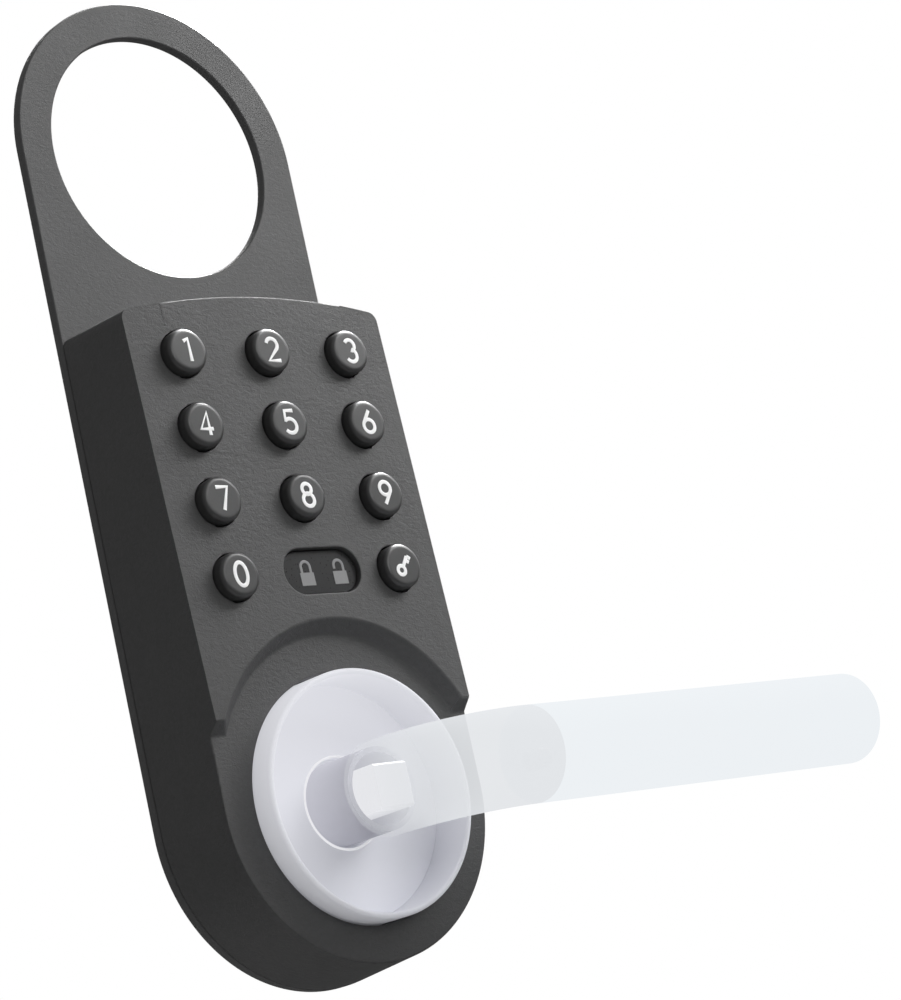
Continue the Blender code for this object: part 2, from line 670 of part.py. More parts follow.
def make_bearing():
    """The flanged bush in the housing's floor and the clip that keeps the lever in it."""
    bush_profile = [
        (SPIGOT_RADIUS + 0.1 * MM, SEAT_FLOOR),
        (10.7 * MM, SEAT_FLOOR),
        (10.7 * MM, 12.5 * MM),
        (13.5 * MM, 12.5 * MM),
        (13.5 * MM, 11.3 * MM),
        (SPIGOT_RADIUS + 0.1 * MM, 11.3 * MM),
    ]
    turned_piece("lever_bush", bush_profile, "white", LOCK, ROUND, closed=True)
    outer, inner = 10.2 * MM, 7.5 * MM
    opening = math.radians(28)
    turn = math.radians(90)
    outline = arc((0, 0), outer, turn + opening, turn + math.tau - opening, 30)
    outline += arc((0, 0), inner, turn + math.tau - opening, turn + opening, 30)
    clip_mesh = prism_mesh("lever_clip", outline, 8.45 * MM, 9.15 * MM)
    add_piece("lever_clip", clip_mesh, "steel", LOCK)


def make_square_bar(name, side, low, high, finish):
    half = side / 2
    mesh = box_mesh(name, (-half, -half, low), (half, half, high))
    bar = add_piece(name, mesh, finish, LOCK)
    bevel = bar.modifiers.new("edges", "BEVEL")
    bevel.width = 0.4 * MM
    bevel.segments = 1
    return bar


def tab_outline():
    """A disc with a tab that reaches down between the stop pins."""
    down = -math.pi / 2
    disc = arc((0, 0), 13 * MM, down + TAB_HALF_ANGLE, down + math.tau - TAB_HALF_ANGLE, 36)
    tab = arc((0, 0), 17 * MM, down - TAB_HALF_ANGLE, down + TAB_HALF_ANGLE, 3)
    return disc + tab


def stop_pin_places():
    """A pin on each side of the tab's swing, with a small clearance at each end of it."""
    clearance = TAB_HALF_ANGLE + math.asin((STOP_PIN_RADIUS + 0.35 * MM) / STOP_RADIUS)
    down = -math.pi / 2
    turns = {"rest": down + clearance, "end": down - LEVER_SWING - clearance}
    return {name: (STOP_RADIUS * math.cos(a), STOP_RADIUS * math.sin(a)) for name, a in turns.items()}


def make_stops():
    hub = add_piece("stop_hub", prism_mesh("stop_hub", tab_outline(), 9.8 * MM, 11 * MM), "steel", LOCK)
    bore = cylinder_mesh("hub_bore", [(0, 0)], SPIGOT_RADIUS + 0.15 * MM, 9 * MM, 12 * MM, ROUND)
    cut(hub, add_cutter("hub_bore", bore, LOCK))
    for name, place in stop_pin_places().items():
        pin_mesh = cylinder_mesh(f"stop_pin_{name}", [place], STOP_PIN_RADIUS, 0.2 * MM, 11 * MM)
        add_piece(f"stop_pin_{name}", pin_mesh, "steel", LOCK)


def make_return_spring():
    """A torsion spring about the lever's axis, with an inner leg at its back and an outer one in front."""
    radius, wire, turns, sides = 19.5 * MM, 0.5 * MM, 3, 14
    back, front = 9.0 * MM, 12.1 * MM
    start = math.radians(150)
    count = turns * sides
    path = [(13.8 * MM * math.cos(start), 13.8 * MM * math.sin(start), back)]
    for i in range(count + 1):
        turn = start + math.tau * i / sides
        height = back + (front - back) * i / count
        path.append((radius * math.cos(turn), radius * math.sin(turn), height))
    end = start + math.tau * turns
    path.append((24 * MM * math.cos(end), 24 * MM * math.sin(end), front))
    mesh = make_bar_mesh("return_spring", path, wire, 2)
    add_piece("return_spring", smooth(mesh, 60), "steel", LOCK)


def make_clutch():
    """The dog ring that slides on the lever's square bar, its fork, and the motor that moves the fork."""
    ring_profile = [
        (5 * MM, 7.7 * MM),
        (RING_RADIUS, 7.7 * MM),
        (RING_RADIUS, 6.7 * MM),
        (RING_CORE, 6.7 * MM),
        (RING_CORE, 4.7 * MM),
        (RING_RADIUS, 4.7 * MM),
        (RING_RADIUS, 3.6 * MM),
        (5 * MM, 3.6 * MM),
    ]
    ring = turned_piece("clutch_ring", ring_profile, "steel", LOCK, ROUND, closed=True)
    half = DRIVE_SOCKET / 2
    dogs = cylinder_mesh("dogs", [(-DOG_RADIUS, 0), (DOG_RADIUS, 0)], 1.5 * MM, 1.7 * MM, 4.2 * MM)
    square = box_mesh("ring_square", (-half, -half, -2 * MM), (half, half, 12 * MM))
    join(ring, add_cutter("dogs", dogs, LOCK))
    cut(ring, add_cutter("ring_square", square, LOCK))

    outer = 12.6 * MM
    inner = RING_CORE + GAP
    fork_outline = arc((0, 0), outer, math.radians(-10), math.radians(70), 8)
    fork_outline += [(4 * MM, MOTOR_RISE - 4 * MM)]
    fork_outline += arc((0, MOTOR_RISE), 4 * MM, 0, math.pi, 8)
    fork_outline += [(-4 * MM, MOTOR_RISE - 4 * MM)]
    fork_outline += arc((0, 0), outer, math.radians(110), math.radians(190), 8)
    fork_outline += arc((0, 0), inner, math.radians(190), math.radians(-10), 20)
    fork_mesh = prism_mesh("clutch_fork", fork_outline, FORK_BACK, FORK_FRONT)
    fork = add_piece("clutch_fork", fork_mesh, "brass", LOCK)
    nut_hole = cylinder_mesh("nut_hole", [(0, MOTOR_RISE)], 1.45 * MM, 3 * MM, 8 * MM, SMALL_ROUND)
    cut(fork, add_cutter("nut_hole", nut_hole, LOCK))

    screw = turned_piece("lead_screw", lead_screw_profile(), "steel", LOCK, 12)
    screw.location = (0, MOTOR_RISE, 0)
    motor_profile = [
        (0, 12.4 * MM),
        (6 * MM, 12.4 * MM),
        (6 * MM, 7.8 * MM),
        (2 * MM, 7.8 * MM),
        (2 * MM, 7.2 * MM),
        (0, 7.2 * MM),
    ]
    motor = turned_piece("clutch_motor", motor_profile, "zinc", LOCK, 28)
    motor.location = (0, MOTOR_RISE, 0)


def lead_screw_profile():
    """A thin shaft with rounded thread ridges, from the motor down to the plate."""
    top, bottom, ridges = 6.9 * MM, 2.9 * MM, 4
    root, crest = 0.95 * MM, 1.2 * MM
    pitch = (top - bottom) / ridges
    profile = [(0, top)]
    for i in range(ridges):
        profile.append((root, top - i * pitch))
        profile.append((crest, top - (i + 0.5) * pitch))
    return profile + [(root, bottom), (0, bottom)]


def make_tail():
    """The cam that the clutch drives, the square tail that goes on to the latch, and the cup behind them."""
    cam_mesh = cylinder_mesh("tail_cam", [(0, 0)], CAM_RADIUS, CAM_BACK, CAM_FRONT, ROUND)
    cam = add_piece("tail_cam", cam_mesh, "steel", LOCK)
    half = TAIL_SQUARE / 2 + 0.15 * MM
    square = box_mesh("cam_square", (-half, -half, -4 * MM), (half, half, 4 * MM))
    slots = cylinder_mesh("cam_slots", [(-DOG_RADIUS, 0), (DOG_RADIUS, 0)], 1.8 * MM, -4 * MM, 4 * MM, 14)
    cut(cam, add_cutter("cam_square", square, LOCK), add_cutter("cam_slots", slots, LOCK))
    make_square_bar("tail_spindle", TAIL_SQUARE, TAIL_REACH, CAM_FRONT - 0.2 * MM, "zinc")
    retainer_profile = [
        (7.2 * MM, -1.1 * MM),
        (12.6 * MM, -1.1 * MM),
        (12.6 * MM, -0.2 * MM),
        (15 * MM, -0.2 * MM),
        (15 * MM, -1.7 * MM),
        (7.2 * MM, -1.7 * MM),
    ]
    turned_piece("tail_retainer", retainer_profile, "steel", LOCK, ROUND, closed=True)


clear_scene()
PARTS = new_collection("keypad_lever_lock")
CUTTERS = new_collection("cutters")
LOCK = new_frame("lock_frame", turn=math.pi / 2)
PANEL = new_frame("panel_frame", LOCK, (0, 0, FACE_HEIGHT), -FACE_LEAN)
FINISHES = make_finishes()

make_back_plate()
make_front_housing()
make_buttons()
make_indicator()
make_keypad_mat()
make_circuit_board()
make_screws()
make_mounting_posts()
make_cable_grommet()
make_rosette()
make_elbow()
make_grip()
make_square_bar("drive_spindle", DRIVE_SQUARE, 1.8 * MM, 32.4 * MM, "steel")
make_bearing()
make_stops()
make_return_spring()
make_clutch()
make_tail()
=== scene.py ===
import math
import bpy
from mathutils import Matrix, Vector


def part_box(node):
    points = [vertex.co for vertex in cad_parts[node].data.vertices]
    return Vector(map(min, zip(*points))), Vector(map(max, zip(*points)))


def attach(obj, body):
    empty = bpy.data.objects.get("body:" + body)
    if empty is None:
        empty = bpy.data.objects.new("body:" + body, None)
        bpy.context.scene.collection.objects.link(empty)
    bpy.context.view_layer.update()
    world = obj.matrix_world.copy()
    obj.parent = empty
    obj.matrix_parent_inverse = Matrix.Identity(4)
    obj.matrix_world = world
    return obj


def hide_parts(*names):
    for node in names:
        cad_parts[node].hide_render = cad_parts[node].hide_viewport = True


bl_info = {
    "name": "Keypad Lever Lock",
    "version": (1, 0, 0),
    "blender": (4, 5, 0),
    "location": "View3D > Sidebar > Lever Lock",
    "description": "Builds the outside unit of a keypad lever lock round its frame",
    "category": "Add Mesh",
}

import bmesh
import bpy
from bpy.props import FloatProperty, FloatVectorProperty, PointerProperty
from mathutils import Matrix, Vector

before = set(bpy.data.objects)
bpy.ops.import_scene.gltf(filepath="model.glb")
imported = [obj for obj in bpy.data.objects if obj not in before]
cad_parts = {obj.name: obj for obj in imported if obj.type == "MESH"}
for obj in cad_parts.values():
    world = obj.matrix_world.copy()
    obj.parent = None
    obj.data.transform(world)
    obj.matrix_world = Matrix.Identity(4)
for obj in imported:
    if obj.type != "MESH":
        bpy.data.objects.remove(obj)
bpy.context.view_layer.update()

MM = 0.001

# The lock frame has its X across the lock, its Y up it and its Z out of the door
LOCK = Matrix(((1, 0, 0, 0), (0, 0, -1, 0), (0, 1, 0, 0), (0, 0, 0, 1)))

# Sizes read from the frame's solids
PLATE_LOW, PLATE_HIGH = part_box("back_plate")
PLATE_HALF_WIDTH = PLATE_HIGH.x
PLATE_THICKNESS = -PLATE_LOW.y
HOLE_RISE = PLATE_HIGH.z - PLATE_HALF_WIDTH
HOUSING_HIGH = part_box("front_housing")[1]
HOUSING_BACK = -HOUSING_HIGH.y
HOUSING_HALF_WIDTH = HOUSING_HIGH.x
ROSETTE_LOW, ROSETTE_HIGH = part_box("rosette")
ROSETTE_RADIUS = ROSETTE_HIGH.x
ROSETTE_FRONT = -ROSETTE_LOW.y
ROSETTE_BACK = -ROSETTE_HIGH.y
ROSETTE_FLOOR = -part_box("rosette_base")[0].y
GRIP_LOW, GRIP_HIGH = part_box("lever_grip")
LEVER_RADIUS = GRIP_HIGH.z
LEVER_HEIGHT = -(GRIP_LOW.y + GRIP_HIGH.y) / 2
GRIP_END = GRIP_HIGH.x
LABELS = ("1", "2", "3", "4", "5", "6", "7", "8", "9", "0", "key")
CORNERS = ("upper_left", "upper_right", "lower_left", "lower_right")

# Holes in the plate for the parts that pass it
CUT_MARGIN = 1 * MM
CAM_GAP = 0.5 * MM
CABLE_HOLE_RADIUS = 6 * MM
SCREW_HOLE_RADIUS = 1.6 * MM
SCREW_SEAT_RADIUS, SCREW_SEAT_DEPTH = 3.2 * MM, 1.3 * MM
POST_HOLE_RADIUS = 2.8 * MM
PIN_HOLE_RADIUS = 1.9 * MM

# The housing's inside, and the heights that part its keypad from the recess
HOUSING_FRONT = 27 * MM
CAVITY_CORNER = 1.2 * MM
SEAT_WALL = 2.2 * MM
SEAT_GAP = 0.3 * MM
SHAFT_BORE_RADIUS = 11 * MM
BOSS_RADIUS, BOSS_GAP = 3.8 * MM, 0.3 * MM
KEYPAD_BOTTOM = 37.5 * MM
RECESS_TOP = 37 * MM
HOLE_DEPTH = 6 * MM

# Depths below the keypad face
KEY_FLANGE_FRONT, KEY_FLANGE_BACK = 3.4 * MM, 4.2 * MM
KEY_FLANGE_MIDDLE = 3.8 * MM
LENS_SHOULDER, LENS_BACK = 3.3 * MM, 4.3 * MM
LENS_LEVEL = 3.0 * MM

# Buttons and window across the face
KEY_RIM_INSET = 0.9 * MM
KEY_FLANGE_LIP = 1 * MM
WINDOW_HALF_HEIGHT = 4.62 * MM
LENS_LIP = 1 * MM
LENS_GAP = 0.32 * MM

# The lever's spigot and the seam of its two pieces
SPIGOT_RADIUS, SPIGOT_BORE = 8.3 * MM, 7.2 * MM
SEAM_GAP = 0.15 * MM

# Finest detail kept, and the angle in degrees past which an edge is sharp
MERGE_DISTANCE = 0.000001
SHARP_ANGLE = 35

# Each lamp's place and width, its spread, and the floor's half width
LAMPS = {
    "key": ((0.3, -0.4, 0.5), 0.3),
    "side": ((0.75, -0.45, 0.6), 0.5),
    "front": ((0.05, -1.0, 0.3), 0.6),
    "edge": ((0.62, 0.13, 0.8), 0.25),
    "back": ((0.5, 1.2, 0.6), 0.6),
}
LAMP_SPREAD = math.radians(50)
FLOOR_REACH = 4


def length(name, description, default):
    return FloatProperty(name=name, description=description, default=default, unit="LENGTH", precision=5)


def number(name, description, default):
    return FloatProperty(name=name, description=description, default=default)


def power(name, description, default):
    return FloatProperty(name=name, description=description, default=default, unit="POWER")


def colour(name, description, default):
    return FloatVectorProperty(
        name=name, description=description, default=default, subtype="COLOR", size=3, min=0, max=1
    )


class LockSizes(bpy.types.PropertyGroup):
    hole_radius: length("Ring hole radius", "Radius of the round hole at the top of the plate", 26.3 * MM)
    plate_edge: length("Plate edge", "Rounding of the plate's edges", 0.35 * MM)
    housing_edge: length("Housing edge", "Rounding of the housing's edges", 0.42 * MM)
    housing_top: length("Housing top", "Height of the housing's arched top at its back", 102.3 * MM)
    housing_draft: number("Housing draft", "How fast the sides lean in", 0.092)
    top_arc: length("Top arc", "Radius of the housing's arched top", 195.7 * MM)
    top_corner: length("Top corner", "Radius of the housing's top corners", 2.2 * MM)
    wall: length("Wall", "Thickness of the housing's walls", 2.4 * MM)
    face_thickness: length("Face thickness", "Thickness of the keypad face", 3.0 * MM)
    face_crown: length("Face crown", "Radius of the keypad face's curve across", 500 * MM)
    base_face: length("Base face", "Height of the face round the rosette", 21.2 * MM)
    recess_radius: length("Recess radius", "Radius of the recess above the rosette", 31.6 * MM)
    recess_rise: length("Recess rise", "Height of the recess's centre above the lever's axis", 1.0 * MM)
    recess_end: length("Recess end", "Height of the recess's two short ends", 14.7 * MM)
    recess_slope: number("Recess slope", "Run over rise of the recess wall", 0.857)
    key_radius: length("Key radius", "Radius of a button", 4.6 * MM)
    key_height: length("Key height", "How far a button stands out of the face", 2.45 * MM)
    key_edge: length("Key edge", "Rounding of a button's rim", 0.95 * MM)
    key_gap: length("Key gap", "Gap between a button and its hole", 0.25 * MM)
    glyph_height: length("Glyph height", "Height of a numeral", 5.3 * MM)
    glyph_stroke: length("Glyph stroke", "Width of a numeral's line", 0.8 * MM)
    window_recess: length("Window recess", "Depth of the indicator lens below the face", 1.2 * MM)
    rosette_wall: length("Rosette wall", "Thickness of the rosette's wall", 1.2 * MM)
    rosette_hole: length("Rosette hole", "Radius of the hole in the rosette's floor", 8.9 * MM)
    neck_back: length("Neck back", "Height at which the lever's neck starts", 28.9 * MM)
    bend_radius: length("Bend radius", "Radius of the lever's bend", 20.0 * MM)


class LockFinishes(bpy.types.PropertyGroup):
    housing: colour("Housing", "Grain plastic of the housing", (0.062, 0.062, 0.0625))
    plate: colour("Plate", "Powder coat of the plate", (0.074, 0.074, 0.0745))
    key: colour("Keys", "Plastic of the buttons", (0.038, 0.038, 0.0385))
    numeral: colour("Numerals", "Ink of the numerals", (0.86, 0.86, 0.86))
    lens: colour("Lens", "Smoked indicator lens", (0.006, 0.006, 0.0065))
    icon: colour("Status icons", "Padlocks behind the lens", (0.20, 0.20, 0.203))
    lever: colour("Lever", "Frosted plastic of the lever", (0.835, 0.87, 0.90))
    rosette: colour("Rosette", "Frosted plastic of the rosette", (0.76, 0.765, 0.81))
    rosette_floor: colour("Rosette floor", "White floor of the rosette", (0.73, 0.735, 0.785))
    spigot: colour("Spigot", "Milky plastic of the lever's spigot", (0.55, 0.55, 0.61))
    neck: colour("Neck", "Frosted plastic of the lever's elbow", (0.765, 0.785, 0.81))
    steel: colour("Steel", "Plated steel of the screws, posts and tail", (0.56, 0.57, 0.58))


class LockStage(bpy.types.PropertyGroup):
    lens: FloatProperty(name="Lens", description="Camera's focal length", default=112.26, unit="CAMERA")
    viewpoint: FloatVectorProperty(
        name="Viewpoint",
        description="Where the camera stands",
        default=(-0.38679, -0.48034, -0.06886),
        subtype="TRANSLATION",
        unit="LENGTH",
    )
    aim: FloatVectorProperty(
        name="Aim",
        description="The camera's turn",
        default=(math.radians(101.775), math.radians(12.397), math.radians(-40.4135)),
        subtype="EULER",
    )
    backdrop: number("Backdrop", "Brightness of the backdrop", 1.0)
    ambient: number("Ambient", "Light from all round", 0.31)
    key: power("Key lamp", "Power of the lamp close above", 0.135)
    side: power("Side lamp", "Power of the lamp at the right", 0.6)
    front: power("Front lamp", "Power of the lamp in front", 0.3)
    edge: power("Edge lamp", "Power of the lamp high behind", 3.6)
    back: power("Back lamp", "Power of the lamp behind", 1.0)
    floor_drop: length("Floor drop", "How far below the lever's axis the floor lies", 0.5)


def sizes():
    return bpy.context.scene.lock_sizes


def finishes():
    return bpy.context.scene.lock_finishes


def stage_settings():
    return bpy.context.scene.lock_stage


# Materials

# The range that most of a noise's values lie in
NOISE_LOW, NOISE_HIGH = 0.3, 0.7
# The least and most painted glow on milky plastic, which stands in for the light on it
LEAST_PAINTED_GLOW, MOST_PAINTED_GLOW = 0.08, 0.99


def new_material(name):
    """A material with its tree, its Principled shader and a place on the piece."""
    material = bpy.data.materials.new(name)
    material.use_nodes = True
    tree = material.node_tree
    shader = tree.nodes["Principled BSDF"]
    place = tree.nodes.new("ShaderNodeTexCoord")
    return material, tree, shader, place.outputs["Object"]


def noise(tree, place, scale, detail=2.0, distortion=0.0, stretch=(1, 1, 1)):
    """Noise with features about 1 / scale metres across, longer where stretch is small."""
    mapping = tree.nodes.new("ShaderNodeMapping")
    mapping.inputs["Scale"].default_value = stretch
    tree.links.new(place, mapping.inputs["Vector"])
    texture = tree.nodes.new("ShaderNodeTexNoise")
    texture.inputs["Scale"].default_value = scale
    texture.inputs["Detail"].default_value = detail
    texture.inputs["Distortion"].default_value = distortion
    tree.links.new(mapping.outputs["Vector"], texture.inputs["Vector"])
    return texture.outputs["Fac"]


def spread(tree, value, low, high):
    """Maps the middle of a noise onto low to high."""
    ranged = tree.nodes.new("ShaderNodeMapRange")
    ranged.inputs["From Min"].default_value = NOISE_LOW
    ranged.inputs["From Max"].default_value = NOISE_HIGH
    ranged.inputs["To Min"].default_value = low
    ranged.inputs["To Max"].default_value = high
    tree.links.new(value, ranged.inputs["Value"])
    return ranged.outputs["Result"]


def tinting(tree, base, value, variation):
    """A colour that a noise lightens and darkens a little."""
    ramp = tree.nodes.new("ShaderNodeValToRGB")
    ramp.color_ramp.elements[0].position = NOISE_LOW
    ramp.color_ramp.elements[1].position = NOISE_HIGH
    ramp.color_ramp.elements[0].color = (*(c * (1 - variation) for c in base), 1)
    ramp.color_ramp.elements[1].color = (*(min(c * (1 + variation), 1) for c in base), 1)
    tree.links.new(value, ramp.inputs["Fac"])
    return ramp.outputs["Color"]


def tinted(tree, shader, base, value, variation):
    tree.links.new(tinting(tree, base, value, variation), shader.inputs["Base Color"])


def bumped(tree, shader, value, strength, depth):
    bump = tree.nodes.new("ShaderNodeBump")
    bump.inputs["Strength"].default_value = strength
    bump.inputs["Distance"].default_value = depth
    tree.links.new(value, bump.inputs["Height"])
    tree.links.new(bump.outputs["Normal"], shader.inputs["Normal"])


def mixed(tree, first, second, share):
    mix = tree.nodes.new("ShaderNodeMix")
    mix.inputs["Factor"].default_value = share
    tree.links.new(first, mix.inputs["A"])
    tree.links.new(second, mix.inputs["B"])
    return mix.outputs["Result"]


def grained_plastic(
    name, base, roughness, grain=1000, depth=0.16 * MM, strength=0.8, variation=0.09, gloss=0.3
):
    """Moulded plastic or powder coat with a fine leather grain."""
    material, tree, shader, place = new_material(name)
    shader.inputs["Specular IOR Level"].default_value = gloss
    wrinkle = noise(tree, place, grain, 6, 0.8, (0.7, 1, 1.25))
    speck = noise(tree, place, grain * 4, 2)
    grain_height = mixed(tree, wrinkle, speck, 0.3)
    tinted(tree, shader, base, grain_height, variation)
    bumped(tree, shader, grain_height, strength, depth)
    cloud = noise(tree, place, 60, 2)
    tree.links.new(spread(tree, cloud, roughness - 0.04, roughness + 0.04), shader.inputs["Roughness"])
    return material


def smooth_plastic(name, base, roughness, variation=0.03, gloss=0.5, grain=3000, depth=0.01 * MM):
    """Plain moulded plastic with a barely visible surface."""
    material, tree, shader, place = new_material(name)
    shader.inputs["Specular IOR Level"].default_value = gloss
    fine = noise(tree, place, grain, 3)
    tinted(tree, shader, base, noise(tree, place, 140, 3), variation)
    bumped(tree, shader, fine, 0.2, depth)
    tree.links.new(spread(tree, fine, roughness * 0.9, roughness * 1.1), shader.inputs["Roughness"])
    return material


def frosted_plastic(name, base, alpha, painted_glow, painted_shade_direction=(0, 0, 0), roughness=0.5, gloss=0.15, clear_to=None):
    """Milky plastic with painted light: a glow of its own colour stands in for the lamp light on it, and a
    direction can make that glow fade as painted shade.
    clear_to gives the height where it is clearest, the one where it reaches its full alpha,
    and the alpha at the first."""
    material, tree, shader, place = new_material(name)
    shader.inputs["Alpha"].default_value = alpha
    if clear_to:
        split = tree.nodes.new("ShaderNodeSeparateXYZ")
        tree.links.new(place, split.inputs["Vector"])
        thin = tree.nodes.new("ShaderNodeMapRange")
        thin.interpolation_type = "SMOOTHSTEP"
        thin.inputs["From Min"].default_value = -clear_to[0]
        thin.inputs["From Max"].default_value = -clear_to[1]
        thin.inputs["To Min"].default_value = clear_to[2]
        thin.inputs["To Max"].default_value = alpha
        tree.links.new(split.outputs["Y"], thin.inputs["Value"])
        tree.links.new(thin.outputs["Result"], shader.inputs["Alpha"])
    shader.inputs["Emission Color"].default_value = (*base, 1)
    shader.inputs["Specular IOR Level"].default_value = gloss
    cloud = noise(tree, place, 90, 3)
    # Painted light: where the painted glow is strong, the lamp-lit colour is dimmed to make room for it.
    # Along the direction, the glow grows or fades as painted shade.
    dull = tree.nodes.new("ShaderNodeMix")
    dull.data_type = "RGBA"
    dull.inputs["B"].default_value = (0, 0, 0, 1)
    shares = (shader.inputs["Emission Strength"], dull.inputs["Factor"])
    if any(painted_shade_direction):
        along = tree.nodes.new("ShaderNodeVectorMath")
        along.operation = "DOT_PRODUCT"
        along.inputs[1].default_value = painted_shade_direction
        tree.links.new(place, along.inputs[0])
        share = tree.nodes.new("ShaderNodeMapRange")
        share.inputs["From Min"].default_value = LEAST_PAINTED_GLOW - painted_glow
        share.inputs["From Max"].default_value = MOST_PAINTED_GLOW - painted_glow
        share.inputs["To Min"].default_value = LEAST_PAINTED_GLOW
        share.inputs["To Max"].default_value = MOST_PAINTED_GLOW
        tree.links.new(along.outputs["Value"], share.inputs["Value"])
        for socket in shares:
            tree.links.new(share.outputs["Result"], socket)
    else:
        for socket in shares:
            socket.default_value = painted_glow
    tree.links.new(tinting(tree, base, cloud, 0.015), dull.inputs["A"])
    tree.links.new(dull.outputs["Result"], shader.inputs["Base Color"])
    bumped(tree, shader, noise(tree, place, 2600, 2), 0.15, 0.01 * MM)
    tree.links.new(spread(tree, cloud, roughness - 0.03, roughness + 0.03), shader.inputs["Roughness"])
    return material


def metal(name, base, roughness, brushed=(1, 1, 1), scale=1500, depth=0.01 * MM):
    """Plated or cast metal with fine tool marks."""
    material, tree, shader, place = new_material(name)
    shader.inputs["Metallic"].default_value = 1.0
    marks = noise(tree, place, scale, 4, 0.0, brushed)
    tinted(tree, shader, base, marks, 0.08)
    bumped(tree, shader, marks, 0.25, depth)
    tree.links.new(spread(tree, marks, roughness - 0.06, roughness + 0.08), shader.inputs["Roughness"])
    return material


MATERIALS = {}


def make_materials():
    tones = finishes()
    MATERIALS.update(
        housing=grained_plastic("housing_grain", tones.housing, 0.5),
        plate=grained_plastic("plate_powder_coat", tones.plate, 0.52, 1300, 0.12 * MM, 0.7, 0.07),
        button=grained_plastic("key_plastic", tones.key, 0.36, 2200, 0.03 * MM, 0.4, 0.04, 0.5),
        numeral=smooth_plastic("numeral_ink", tones.numeral, 0.5),
        lens=smooth_plastic("smoked_lens", tones.lens, 0.3),
        icon=smooth_plastic("icon_grey", tones.icon, 0.5),
        # Painted light: the lever and the neck glow evenly with their own colour in place of lamp light.
        lever=frosted_plastic("lever_frosted", tones.lever, 0.72, 0.99, gloss=0.0),
        neck=frosted_plastic(
            "neck_frosted", tones.neck, 0.7, 0.98, gloss=0.0, clear_to=(29 * MM, 44 * MM, 0.12)
        ),
        # Painted light and painted shade: the spigot, the rosette wall, its floor, the bush and the drive
        # bar glow with their own colour in place of lamp light. The glow is painted darker along a
        # direction. The spigot darkens near the neck and towards the lower right. The rosette wall darkens
        # towards its back and bottom, so its front lip carries a painted highlight. The floor and the bush
        # darken towards the lower right. The drive bar darkens towards its right, so its left face carries
        # a painted highlight.
        spigot=frosted_plastic("spigot_milky", tones.spigot, 0.95, 0.92, (-45, 30, 25)),
        rosette=frosted_plastic("rosette_frosted", tones.rosette, 0.94, 0.0, (-4, -20, 14)),
        floor=frosted_plastic("rosette_floor_white", tones.rosette_floor, 1.0, 0.52, (-8, 0, 18)),
        bush=frosted_plastic("bush_white", tones.rosette, 1.0, 0.25, (-30, 0, 20)),
        bar=frosted_plastic("drive_bar_white", (0.82, 0.82, 0.85), 1.0, 0.75, (-45, 0, 0)),
        steel=metal("plated_steel", tones.steel, 0.32),
        zinc=metal("cast_zinc", (0.42, 0.42, 0.43), 0.45, scale=700),
        brass=metal("machined_brass", (0.62, 0.45, 0.18), 0.3, (1, 1, 6)),
        white=smooth_plastic("white_moulding", (0.75, 0.75, 0.73), 0.45),
        silicone=smooth_plastic("silicone_sheet", (0.33, 0.34, 0.36), 0.7),
        board=smooth_plastic("board_solder_mask", (0.02, 0.15, 0.06), 0.4, 0.12),
        black=smooth_plastic("black_moulding", (0.02, 0.02, 0.02), 0.5),
        clear=smooth_plastic("light_guide", (0.75, 0.77, 0.8), 0.12),
        rubber=smooth_plastic("black_rubber", (0.018, 0.018, 0.018), 0.8, 0.1, 0.3, 1800, 0.02 * MM),
    )


def repaint(finish, *nodes):
    """Gives frame nodes a finish in place of their plain one."""
    for node in nodes:
        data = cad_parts[node].data
        data.materials.clear()
        data.materials.append(MATERIALS[finish])


# Building in the lock frame


def panel_place():
    """The frame of the leaning keypad face, worked out from the solids of the middle column of buttons."""
    size = sizes()
    upper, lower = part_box("button_2"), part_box("button_8")
    lean = math.atan2(upper[0].y - lower[0].y, upper[0].z - lower[0].z)
    rim = size.key_radius - KEY_RIM_INSET
    up = key_rise("8", lean)
    height = -lower[0].y + (up - rim) * math.sin(lean) - size.key_height * math.cos(lean)
    return LOCK @ Matrix.Translation((0, 0, height)) @ Matrix.Rotation(-lean, 4, "X"), lean


def key_rise(label, lean):
    """Height of a button's axis up the leaning face."""
    low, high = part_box(f"button_{label}")
    return ((low.z + high.z) / 2 + KEY_FLANGE_MIDDLE * math.sin(lean)) / math.cos(lean)


def key_places():
    """Each button's label and its axis in the panel frame."""
    lean = panel_place()[1]
    for label in LABELS:
        low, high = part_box(f"button_{label}")
        across = (low.x + high.x) / 2
        yield label, Vector((across, key_rise(label, lean), -(across**2) / (2 * sizes().face_crown)))


def new_piece(name, bm, place, finish=None, smooth_angle=SHARP_ANGLE):
    """Makes the mesh a piece with its place in its mesh."""
    bmesh.ops.remove_doubles(bm, verts=bm.verts, dist=MERGE_DISTANCE)
    bmesh.ops.recalc_face_normals(bm, faces=bm.faces)
    bmesh.ops.transform(bm, matrix=place, verts=bm.verts)
    mesh = bpy.data.meshes.new(name)
    bm.to_mesh(mesh)
    bm.free()
    mesh.shade_smooth()
    mesh.set_sharp_from_angle(angle=math.radians(smooth_angle))
    piece = bpy.data.objects.new(name, mesh)
    bpy.context.scene.collection.objects.link(piece)
    if finish:
        mesh.materials.append(MATERIALS[finish])
    return piece


def settle(piece):
    """Bakes a piece's modifiers into its mesh."""
    graph = bpy.context.evaluated_depsgraph_get()
    mesh = bpy.data.meshes.new_from_object(piece.evaluated_get(graph))
    piece.modifiers.clear()
    piece.data = mesh


